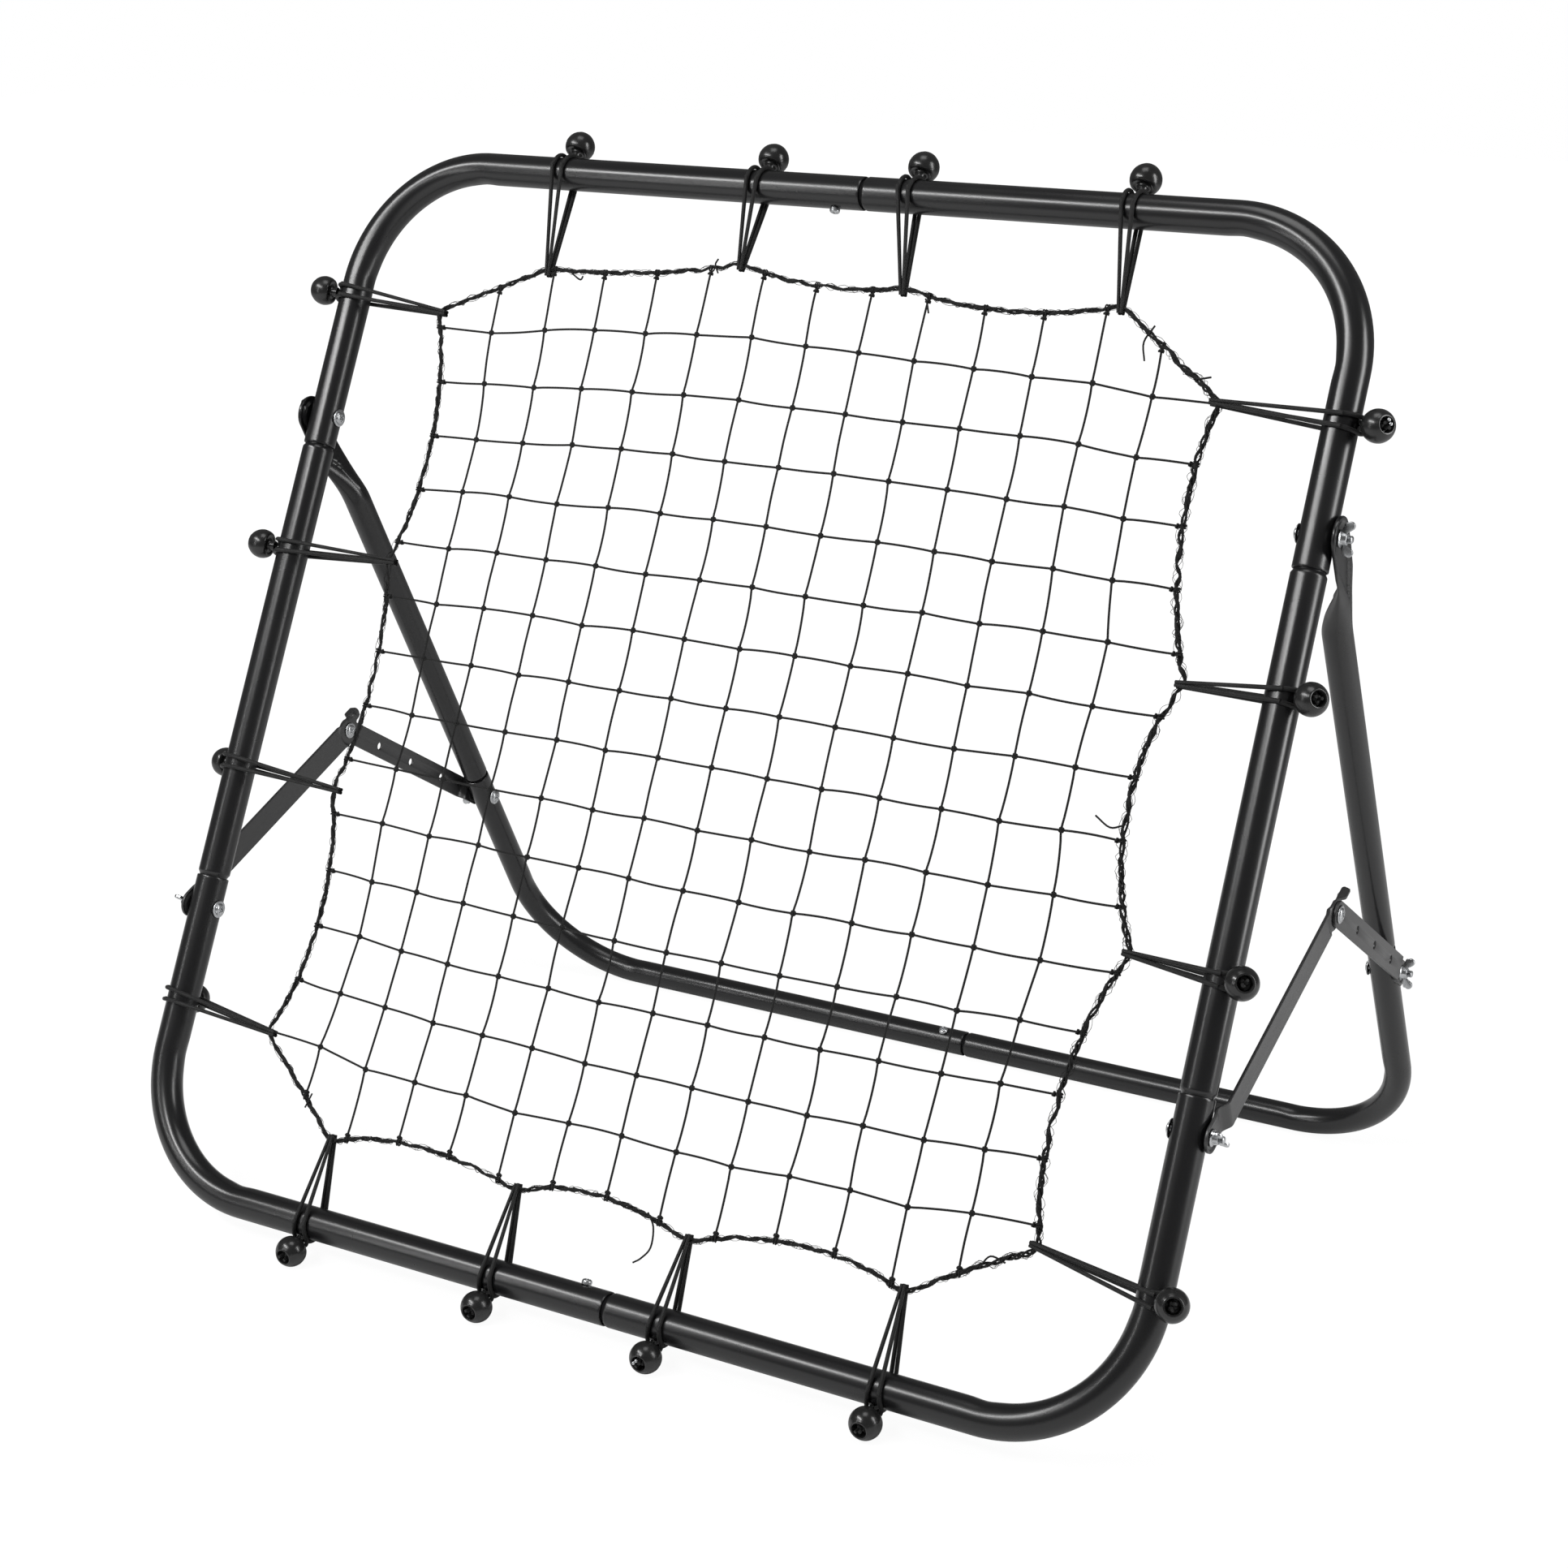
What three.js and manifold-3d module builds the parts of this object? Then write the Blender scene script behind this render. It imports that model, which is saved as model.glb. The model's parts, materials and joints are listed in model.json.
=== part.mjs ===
// Pitch back rebounder: a net hung by bungee cords in a tilted steel frame, with a folding stand.
// Millimetres, +Z up and +Y to the back. The origin is on the ground, under the middle.
import * as THREE from 'three';
import { mergeVertices } from 'three/addons/utils/BufferGeometryUtils.js';
import Module from 'manifold-3d';

const wasm = await Module();
wasm.setup();

// Fits and facets
const fit = 0.3;
const tubeSides = 12;
const bendSteps = 4;
const holeSides = 8;
const turnedSides = 10;
const arcSides = 6;

// Front frame: a rounded square of round tube, leaning back
const frameWidth = 960;
const frameHeight = 960;
const frameTube = 28;
const frameBend = 114;
const frameTilt = 26.5;
const sideJoint = 199;
const crossJoint = 25;

// Every tube joint: a swaged neck that plugs into the next tube
const tubeWall = 1.5;
const neckLength = 50;
const shoulderLength = 4;

// Rear stand: a U of tube with its two upper ends crushed to tongues
const standTube = 24;
const standBend = 110;
const standAngle = 28;
const rearJoint = 22;
const tongueThickness = 3;
const tongueWidth = 30;
const tongueEnd = 17;
const tongueRim = 1.5;
const tongueFlat = 40;
const tongueBlend = 45;
const crushedBore = 62;

// Bolts with wing nuts, and the small screws of the cross joints
const boltFromJoint = 27;
const boltRadius = 3;
const boltHead = 7.3;
const boltHeadHeight = 2.6;
const boltTip = 4;
const wingHubRadius = 5.2;
const wingHubHeight = 6;
const wingReach = 10;
const wingRadius = 3.4;
const wingThickness = 2.4;
const screwRadius = 2.2;
const screwHead = 4.4;
const screwHeadHeight = 3;
const screwReach = 7;

// Fold braces: a pressed strut from the frame and a drilled bar from the leg
const plate = 2.5;
const strutLength = 256;
const strutWidth = 24;
const strutSeat = 18;
const strutSeatEnd = 13;
const strutLift = 5.6;
const joggle = 8;
const tabStart = 12;
const tabEnd = 28;
const tabHeight = 6;
const legBolt = 482;
const barPitch = 56;
const barGaps = 4;
const barWidth = 21;
const barSeat = 12;
const barHole = 3.5;
const barChamfer = 4;
const pinHead = 7;
const pinHeadHeight = 2.4;

// Net of knotted twine in a border cord
const reachTop = 78;
const reachBottom = 71;
const reachSide = 96;
const reachWaist = 90;
const hookAcross = 77;
const hookAcrossOuter = 267;
const hookUp = 103;
const hookUpOuter = 325;
const borderRadius = 2.75;
const borderSag = 0.06;
const borderFlat = 5;
const netColumns = 13;
const netRows = 14;
const netPitchAcross = 52;
const netPitchUp = 49;
const twine = 1.8;

// Bungee cords and their balls
const cordRadius = 1.8;
const cordSides = 4;
const cordClearance = 0.25;
const cordSpread = 2.1;
const frontSpread = 4.6;
const bightSpread = 6.3;
const layStep = 34;
const hookStep = 56;
const ballRadius = 13;
const ballSides = 8;
const ballTurn = 35;
const ballNeck = 4.5;
const ballBase = 7.5;
const ballRim = 7;
const ballBore = 5.8;
const ballBoreDepth = 7;

// How far each ball is turned to the front of its tube, and how far it has slid along it
const ballTurns = {
  top: [-20, -22, -20, -18],
  right: [12, 30, 44, 46],
  bottom: [ballTurn, ballTurn, ballTurn, ballTurn],
  left: [12, 12, -26, -70],
};
const ballSlides = {
  top: [-5, 1, -10, -3],
  right: [13, 2, 10, 24],
  bottom: [9, 8, 0, -5],
  left: [15, -1, 7, 17],
};

// Worked out from the sizes above
const degree = Math.PI / 180;
const frameRadius = frameTube / 2;
const standRadius = standTube / 2;
const halfAcross = (frameWidth - frameTube) / 2;
const halfUp = (frameHeight - frameTube) / 2;
const boltUp = sideJoint + boltFromJoint;
const ballOffset = frameRadius + 2 * (cordClearance + cordRadius) + ballRadius;
const frameGround = ballOffset * Math.cos((ballTurn + frameTilt) * degree) + ballRadius;
const pivotHeight = frameGround + (halfUp + boltUp) * Math.cos(frameTilt * degree);
const barRest = standRadius * Math.cos(Math.PI / tubeSides);
const legLength = (pivotHeight - barRest) / Math.cos(standAngle * degree);
const legAcross = halfAcross + frameRadius + fit + tongueThickness - standRadius;
const openAngle = (frameTilt + standAngle) * degree;

const blackSteel = new THREE.MeshStandardMaterial({ color: 0x18191a, roughness: 0.38, metalness: 0.5 });
const zincSteel = new THREE.MeshStandardMaterial({ color: 0xc4c8cb, roughness: 0.32, metalness: 0.95 });
const blackPlastic = new THREE.MeshStandardMaterial({ color: 0x151515, roughness: 0.6, metalness: 0 });
const blackElastic = new THREE.MeshStandardMaterial({ color: 0x0e0e0e, roughness: 0.85, metalness: 0 });
const blackTwine = new THREE.MeshStandardMaterial({ color: 0x121212, roughness: 0.9, metalness: 0 });

function facedOut(points, triangles) {
  const cross = new THREE.Vector3();
  let volume = 0;
  for (const [a, b, c] of triangles) {
    volume += points[a].dot(cross.crossVectors(points[b], points[c]));
  }
  const turned = volume < 0 ? triangles.map(([a, b, c]) => [a, c, b]) : triangles;
  const geometry = new THREE.BufferGeometry();
  geometry.setAttribute('position', new THREE.Float32BufferAttribute(points.flatMap((p) => p.toArray()), 3));
  geometry.setIndex(turned.flat());
  return geometry;
}

// Any closed geometry with its shared points merged and its faces pointing out
function merged(geometry) {
  const bare = geometry.clone();
  bare.deleteAttribute('normal');
  bare.deleteAttribute('uv');
  const welded = mergeVertices(bare, 0.001);
  const places = welded.getAttribute('position');
  const points = [];
  for (let i = 0; i < places.count; i += 1) {
    points.push(new THREE.Vector3().fromBufferAttribute(places, i));
  }
  const triangles = [];
  for (let i = 0; i < welded.index.count; i += 3) {
    const [a, b, c] = [0, 1, 2].map((step) => welded.index.getX(i + step));
    if (a !== b && b !== c && c !== a) {
      triangles.push([a, b, c]);
    }
  }
  return facedOut(points, triangles);
}

function toSolid(geometry) {
  const closed = merged(geometry);
  return new wasm.Manifold(new wasm.Mesh({
    numProp: 3,
    vertProperties: closed.getAttribute('position').array,
    triVerts: new Uint32Array(closed.index.array),
  }));
}

function toGeometry(solid) {
  const mesh = solid.getMesh();
  const geometry = new THREE.BufferGeometry();
  geometry.setAttribute('position', new THREE.Float32BufferAttribute(mesh.vertProperties, 3));
  geometry.setIndex(Array.from(mesh.triVerts));
  return geometry;
}

function cut(geometry, tools) {
  return toGeometry(tools.reduce((body, tool) => body.subtract(toSolid(tool)), toSolid(geometry)));
}

function join(geometries) {
  return toGeometry(geometries.map(toSolid).reduce((body, next) => body.add(next)));
}

function mirroredAcross(geometry) {
  return merged(geometry.clone().scale(-1, 1, 1));
}

// A skin through rings of equal count: capped at both ends, or led back to its start
function skin(rings, leadBack) {
  const count = rings[0].length;
  const points = rings.flat();
  const triangles = [];
  const spans = leadBack ? rings.length : rings.length - 1;
  for (let i = 0; i < spans; i += 1) {
    const here = i * count;
    const there = ((i + 1) % rings.length) * count;
    for (let k = 0; k < count; k += 1) {
      const next = (k + 1) % count;
      triangles.push([here + k, here + next, there + next], [here + k, there + next, there + k]);
    }
  }
  if (!leadBack) {
    const last = (rings.length - 1) * count;
    for (let k = 1; k < count - 1; k += 1) {
      triangles.push([0, k + 1, k], [last, last + k, last + k + 1]);
    }
  }
  return facedOut(points, triangles);
}

// Tube rings lie square to their path; a station holds its centre, outward direction and radius
const behind = new THREE.Vector3(0, 1, 0);

function tubeRing(station, radius, phase) {
  const ring = [];
  for (let k = 0; k < tubeSides; k += 1) {
    const angle = phase + ((k + 0.5) * 2 * Math.PI) / tubeSides;
    ring.push(station.centre.clone()
      .addScaledVector(station.outward, radius * Math.cos(angle))
      .addScaledVector(behind, radius * Math.sin(angle)));
  }
  return ring;
}

function hollowTube(stations, phase) {
  const outside = stations.map((station) => tubeRing(station, station.radius, phase));
  const inside = stations.map((station) => tubeRing(station, station.radius - tubeWall, phase));
  return skin([...outside, ...inside.reverse()], true);
}

const neckRadius = (tubeRadius) => tubeRadius - tubeWall - fit;

// The radii along the last stretch of a tube that plugs in: shoulder, then neck
function neckSteps(joint, tubeRadius) {
  return [
    { at: joint - neckLength, radius: neckRadius(tubeRadius) },
    { at: joint + fit, radius: neckRadius(tubeRadius) },
    { at: joint + fit + shoulderLength, radius: tubeRadius },
  ];
}

// A corner tube: a run across to the bend, the bend, and a run up to the side joint
function cornerTube({ across, up, bend, tubeRadius, phase, upEnd, acrossSteps, signX, signZ }) {
  const stations = [];
  const place = (x, z, outX, outZ, radius) => stations.push({
    centre: new THREE.Vector3(signX * x, 0, signZ * z),
    outward: new THREE.Vector3(signX * outX, 0, signZ * outZ),
    radius,
  });
  for (const step of acrossSteps) {
    place(step.at, up, 0, 1, step.radius);
  }
  for (let i = 0; i <= bendSteps; i += 1) {
    const angle = (Math.PI / 2) * (1 - i / bendSteps);
    const [outX, outZ] = [Math.cos(angle), Math.sin(angle)];
    place(across - bend + bend * outX, up - bend + bend * outZ, outX, outZ, tubeRadius);
  }
  place(across, upEnd, 1, 0, tubeRadius);
  return hollowTube(stations, phase);
}

// The left tube of a cross joint is the socket, the right one has the neck
function crossSteps(signX, joint, tubeRadius) {
  return signX < 0 ? [{ at: -joint, radius: tubeRadius }] : neckSteps(joint, tubeRadius);
}

// A drill for a hole: its facets stand at the radius
function rod(radius, length, direction) {
  const around = radius / Math.cos(Math.PI / holeSides);
  const geometry = new THREE.CylinderGeometry(around, around, length, holeSides);
  geometry.rotateX(Math.PI / 2);
  const turn = new THREE.Quaternion().setFromUnitVectors(new THREE.Vector3(0, 0, 1), direction);
  return geometry.applyQuaternion(turn);
}

const alongX = new THREE.Vector3(1, 0, 0);
const alongZ = new THREE.Vector3(0, 0, 1);

function crossHole(x, z) {
  return rod(boltRadius + fit, 4 * frameTube, alongX).translate(x, 0, z);
}

// A screw hole through one side of a cross tube, from its middle towards inward = 1 or -1
function screwHole(z, inward) {
  return rod(screwRadius + fit, frameTube, alongZ).translate(0, 0, z + (inward * frameTube) / 2);
}

function frontCorner(signX, signZ) {
  const tube = cornerTube({
    across: halfAcross,
    up: halfUp,
    bend: frameBend,
    tubeRadius: frameRadius,
    phase: 0,
    upEnd: sideJoint,
    acrossSteps: crossSteps(signX, crossJoint, frameRadius),
    signX,
    signZ,
  });
  return cut(tube, [crossHole(signX * halfAcross, signZ * boltUp), screwHole(signZ * halfUp, -signZ)]);
}

function sideTube(signX) {
  const steps = neckSteps(-sideJoint, frameRadius);
  const mirroredSteps = steps.map(({ at, radius }) => ({ at: -at, radius })).reverse();
  const stations = [...steps, ...mirroredSteps].map(({ at, radius }) => ({
    centre: new THREE.Vector3(signX * halfAcross, 0, at),
    outward: new THREE.Vector3(signX, 0, 0),
    radius,
  }));
  const holes = [-boltUp, boltUp].map((z) => crossHole(signX * halfAcross, z));
  return cut(hollowTube(stations, 0), holes);
}

// Stand tubes: the stand's own frame has its origin at the pivot, and -Z down the leg
const legJoint = legBolt - boltFromJoint;
const restPhase = -standAngle * degree;

function standCorner(signX) {
  const tube = cornerTube({
    across: legAcross,
    up: legLength,
    bend: standBend,
    tubeRadius: standRadius,
    phase: restPhase,
    upEnd: legJoint,
    acrossSteps: crossSteps(signX, rearJoint, standRadius),
    signX,
    signZ: -1,
  });
  return cut(tube, [crossHole(signX * legAcross, -legBolt), screwHole(-legLength, 1)]);
}

// A leg's section: flat at the tongue, round below, and inset by the wall for its bore
function legSection(signX, z, roundness, halfWidth, radius, inset) {
  const tongueAcross = halfAcross + frameRadius + fit + tongueThickness / 2;
  const lastAngle = Math.PI / 2 - Math.PI / tubeSides;
  const ring = [];
  for (let k = 0; k < tubeSides; k += 1) {
    const angle = ((k + 0.5) * 2 * Math.PI) / tubeSides;
    const outer = Math.cos(angle) > 0;
    const folded = Math.asin(Math.sin(angle)) / lastAngle;
    const rim = outer && Math.abs(folded) > 0.99 ? tongueRim * (halfWidth / (tongueWidth / 2)) : 0;
    const flatX = (outer ? 1 : -1) * (tongueThickness / 2 - inset) + (inset > 0 ? 0 : rim);
    const flatY = (halfWidth - inset) * folded;
    const roundX = (radius - inset) * Math.cos(angle);
    const roundY = (radius - inset) * Math.sin(angle);
    const centre = THREE.MathUtils.lerp(tongueAcross, legAcross, roundness);
    const x = centre + THREE.MathUtils.lerp(flatX, roundX, roundness);
    ring.push(new THREE.Vector3(signX * x, THREE.MathUtils.lerp(flatY, roundY, roundness), z));
  }
  return ring;
}

function upperLeg(signX) {
  const roundness = (depth) => THREE.MathUtils.smoothstep(depth, tongueFlat, tongueFlat + tongueBlend);
  const halfWidth = tongueWidth / 2;
  const section = (depth, radius, inset) => (
    legSection(signX, -depth, roundness(depth), halfWidth, radius, inset)
  );
  const shoulder = legJoint - fit;
  const neckEnd = legJoint + neckLength;
  const outside = [];
  for (const height of [0.985, 0.9, 0.72, 0.47].map((share) => share * tongueEnd)) {
    const roundedHalf = Math.sqrt(tongueEnd ** 2 - height ** 2);
    outside.push(legSection(signX, height, 0, Math.min(halfWidth, roundedHalf), standRadius, 0));
  }
  for (const share of [0, 0.22, 0.45, 0.7, 1]) {
    outside.push(section(tongueFlat + share * tongueBlend, standRadius, 0));
  }
  outside.push(section(shoulder - shoulderLength, standRadius, 0));
  outside.push(section(shoulder, neckRadius(standRadius), 0));
  outside.push(section(neckEnd, neckRadius(standRadius), 0));
  const inside = [
    section(neckEnd, neckRadius(standRadius), tubeWall),
    section(shoulder, neckRadius(standRadius), tubeWall),
    section(shoulder - shoulderLength, standRadius, tubeWall),
    section(tongueFlat + tongueBlend, standRadius, tubeWall),
    section(crushedBore, standRadius, tubeWall),
  ];
  const leg = skin([...outside, ...inside], false);
  return cut(leg, [crossHole(signX * legAcross, 0), crossHole(signX * legAcross, -legBolt)]);
}

// Turned parts have a profile of radius and distance along the axis, closed on the axis
function turned(profile, segments = turnedSides) {
  const points = profile.map(([radius, at]) => new THREE.Vector2(radius, at));
  return new THREE.LatheGeometry(points, segments).rotateZ(-Math.PI / 2);
}

function wingEars(seat) {
  const ears = [1, -1].map((side) => {
    const ear = new THREE.Shape();
    ear.moveTo(seat + 1, side * (wingHubRadius - 1));
    ear.lineTo(seat + wingHubHeight - 1, side * (wingReach + wingRadius));
    ear.absarc(
      seat + wingHubHeight + wingRadius / 2,
      side * wingReach,
      wingRadius,
      side * 115 * degree,
      side * -45 * degree,
      side > 0,
    );
    ear.lineTo(seat + wingHubHeight - 1, side * (wingHubRadius - 1));
    const options = { depth: wingThickness, bevelEnabled: false, curveSegments: arcSides / 2 };
    return new THREE.ExtrudeGeometry(ear, options).translate(0, 0, -wingThickness / 2);
  });
  return ears;
}

// A bolt along +X with its head at headSeat and its wing nut at nutSeat
function wingBolt(headSeat, nutSeat, wingTurn) {
  const tip = nutSeat + wingHubHeight + boltTip;
  const body = turned([
    [0, headSeat - boltHeadHeight],
    [boltHead * 0.7, headSeat - boltHeadHeight],
    [boltHead, headSeat - boltHeadHeight / 2],
    [boltHead, headSeat],
    [boltRadius, headSeat],
    [boltRadius, nutSeat],
    [wingHubRadius, nutSeat],
    [wingHubRadius * 0.85, nutSeat + wingHubHeight],
    [boltRadius, nutSeat + wingHubHeight],
    [boltRadius, tip],
    [0, tip],
  ]);
  return join([body, ...wingEars(nutSeat)]).rotateX(wingTurn);
}

function jointScrew() {
  const head = frameRadius + fit;
  const profile = [
    [0, head - screwReach],
    [screwRadius, head - screwReach],
    [screwRadius, head],
    [screwHead, head],
    [screwHead, head + screwHeadHeight * 0.6],
    [screwHead * 0.6, head + screwHeadHeight],
    [0, head + screwHeadHeight],
  ];
  return turned(profile).rotateY(-Math.PI / 2);
}

// Flat steel plates, pressed: a stepped thickness profile crossed with an outline.
// A plate's own frame has Z along it, Y across it and X through it.
function platePoints(points) {
  return new THREE.Shape(points.map(([x, y]) => new THREE.Vector2(x, y)));
}

function pressedPlate(steps, outline, width) {
  const lower = steps.map(([along, level]) => [level, along]);
  const upper = steps.map(([along, level]) => [level + plate, along]).reverse();
  const profile = new THREE.ExtrudeGeometry(platePoints([...lower, ...upper]), {
    depth: width + 2,
    bevelEnabled: false,
  });
  profile.rotateX(Math.PI / 2).translate(0, width / 2 + 1, 0);
  const flat = new THREE.ExtrudeGeometry(outline, {
    depth: frameWidth,
    bevelEnabled: false,
    curveSegments: arcSides,
  });
  const throughX = new THREE.Matrix4().makeBasis(behind, alongZ, alongX);
  flat.applyMatrix4(throughX);
  return toSolid(profile).intersect(toSolid(flat));
}

const strutLevel = halfAcross + frameRadius + fit;
const strutWeb = strutLevel + strutLift;
const barLevel = strutWeb + plate + fit;
const barEndLevel = legAcross + standRadius + fit;

function strut() {
  const half = strutWidth / 2;
  const tip = strutLength + tabEnd;
  const steps = [
    [-strutSeatEnd, strutLevel],
    [strutSeat, strutLevel],
    [strutSeat + joggle, strutWeb],
    [tip, strutWeb],
  ];
  const outline = new THREE.Shape();
  outline.absarc(0, 0, half, 0, -Math.PI, true);
  outline.lineTo(-half, tip);
  outline.lineTo(-half + plate, tip);
  outline.lineTo(-half + plate, strutLength + tabStart);
  outline.absarc(0, strutLength, half, 0.62 * Math.PI, 0, true);
  const web = pressedPlate(steps, outline, strutWidth);
  const tabLine = platePoints([
    [strutWeb, strutLength + tabStart],
    [strutWeb + plate + tabHeight, strutLength + tabStart + 2],
    [strutWeb + plate + tabHeight, tip - tabHeight / 2],
    [strutWeb, tip],
  ]);
  const tab = new THREE.ExtrudeGeometry(tabLine, { depth: plate, bevelEnabled: false });
  tab.rotateX(Math.PI / 2).translate(0, -half + plate, 0);
  const pin = turned([
    [0, strutWeb - pinHeadHeight],
    [pinHead * 0.8, strutWeb - pinHeadHeight],
    [pinHead, strutWeb - pinHeadHeight / 2],
    [pinHead, strutWeb + plate / 2],
    [0, strutWeb + plate / 2],
  ]).translate(0, 0, strutLength);
  const body = web.add(toSolid(tab)).add(toSolid(pin));
  return toGeometry(body.subtract(toSolid(crossHole(strutLevel, 0))));
}

const barLength = barPitch * barGaps;

function drilledBar() {
  const half = barWidth / 2;
  const foot = -barSeat;
  const steps = [
    [foot, barEndLevel],
    [barSeat, barEndLevel],
    [barSeat + joggle, barLevel],
    [barLength + half, barLevel],
  ];
  const outline = new THREE.Shape();
  outline.moveTo(-half + barChamfer, foot);
  outline.lineTo(half - barChamfer, foot);
  outline.lineTo(half, foot + barChamfer);
  outline.absarc(0, barLength, half, 0, Math.PI, false);
  outline.lineTo(-half, foot + barChamfer);
  const body = pressedPlate(steps, outline, barWidth);
  const holes = [rod(boltRadius + fit, frameTube, alongX).translate(barEndLevel, 0, 0)];
  for (let i = 1; i <= barGaps; i += 1) {
    const radius = i < barGaps ? barHole : boltRadius + fit;
    holes.push(rod(radius, frameTube, alongX).translate(barLevel, 0, i * barPitch));
  }
  return toGeometry(holes.reduce((left, hole) => left.subtract(toSolid(hole)), body));
}

function bracePin() {
  const seat = barLevel + plate + fit;
  return turned([
    [0, barLevel],
    [boltRadius, barLevel],
    [boltRadius, seat],
    [pinHead, seat],
    [pinHead, seat + pinHeadHeight / 2],
    [pinHead * 0.8, seat + pinHeadHeight],
    [0, seat + pinHeadHeight],
  ]).translate(0, 0, barLength);
}

// Net border: hooks pull it out, and it sags in between them. In the frame's own plane.
const hooks = [];
for (const across of [-hookAcrossOuter, -hookAcross, hookAcross, hookAcrossOuter]) {
  hooks.push({ at: [across, halfUp - reachTop], along: [1, 0], reach: reachTop });
}
for (const up of [hookUpOuter, hookUp, -hookUp, -hookUpOuter]) {
  const reach = Math.abs(up) > hookUp ? reachSide : reachWaist;
  hooks.push({ at: [halfAcross - reach, up], along: [0, -1], reach });
}
for (const across of [hookAcrossOuter, hookAcross, -hookAcross, -hookAcrossOuter]) {
  hooks.push({ at: [across, reachBottom - halfUp], along: [-1, 0], reach: reachBottom });
}
for (const up of [-hookUpOuter, -hookUp, hookUp, hookUpOuter]) {
  const reach = Math.abs(up) > hookUp ? reachSide : reachWaist;
  hooks.push({ at: [reach - halfAcross, up], along: [0, 1], reach });
}
for (const hook of hooks) {
  hook.point = new THREE.Vector2(...hook.at);
  hook.tangent = new THREE.Vector2(...hook.along);
  hook.outward = new THREE.Vector2(-hook.along[1], hook.along[0]);
}

function borderLine() {
  const line = [];
  hooks.forEach((hook, i) => {
    const next = hooks[(i + 1) % hooks.length];
    const start = hook.point.clone().addScaledVector(hook.tangent, borderFlat);
    const end = next.point.clone().addScaledVector(next.tangent, -borderFlat);
    line.push(hook.point.clone().addScaledVector(hook.tangent, -borderFlat), start);
    if (hook.tangent.dot(next.tangent) > 0.5) {
      const sag = borderSag * start.distanceTo(end);
      for (const share of [0.2, 0.4, 0.6, 0.8]) {
        const drop = 4 * share * (1 - share) * sag;
        line.push(start.clone().lerp(end, share).addScaledVector(hook.outward, -drop));
      }
    }
  });
  return line;
}

const border = borderLine();

function borderCord() {
  const cordFaces = 6;
  const rings = border.map((point, i) => {
    const before = border[(i + border.length - 1) % border.length];
    const after = border[(i + 1) % border.length];
    const into = point.clone().sub(before).normalize();
    const mean = after.clone().sub(point).normalize().add(into).normalize();
    const mitre = borderRadius / mean.dot(into);
    const ring = [];
    for (let k = 0; k < cordFaces; k += 1) {
      const angle = (k * 2 * Math.PI) / cordFaces;
      const side = mitre * Math.cos(angle);
      ring.push(new THREE.Vector3(
        point.x - side * mean.y,
        borderRadius * Math.sin(angle),
        point.y + side * mean.x,
      ));
    }
    return ring;
  });
  return skin(rings, true);
}

// Where a strand that runs along one axis ends, just inside the border cord
function strandEnd(offset, axis, sign) {
  const other = 1 - axis;
  let best = null;
  border.forEach((point, i) => {
    const next = border[(i + 1) % border.length];
    const [from, to] = [point.toArray(), next.toArray()];
    const low = Math.min(from[other], to[other]);
    const high = Math.max(from[other], to[other]);
    if (offset < low || offset > high || high - low < 0.001 || sign * (from[axis] + to[axis]) < 0) {
      return;
    }
    const share = (offset - from[other]) / (to[other] - from[other]);
    const length = point.distanceTo(next);
    const slope = Math.abs(to[axis] - from[axis]) / (high - low);
    const clear = ((borderRadius + fit) * length) / (high - low) + (slope * twine) / 2;
    best = sign * (Math.abs(from[axis] + share * (to[axis] - from[axis])) - clear);
  });
  return best;
}

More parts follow.
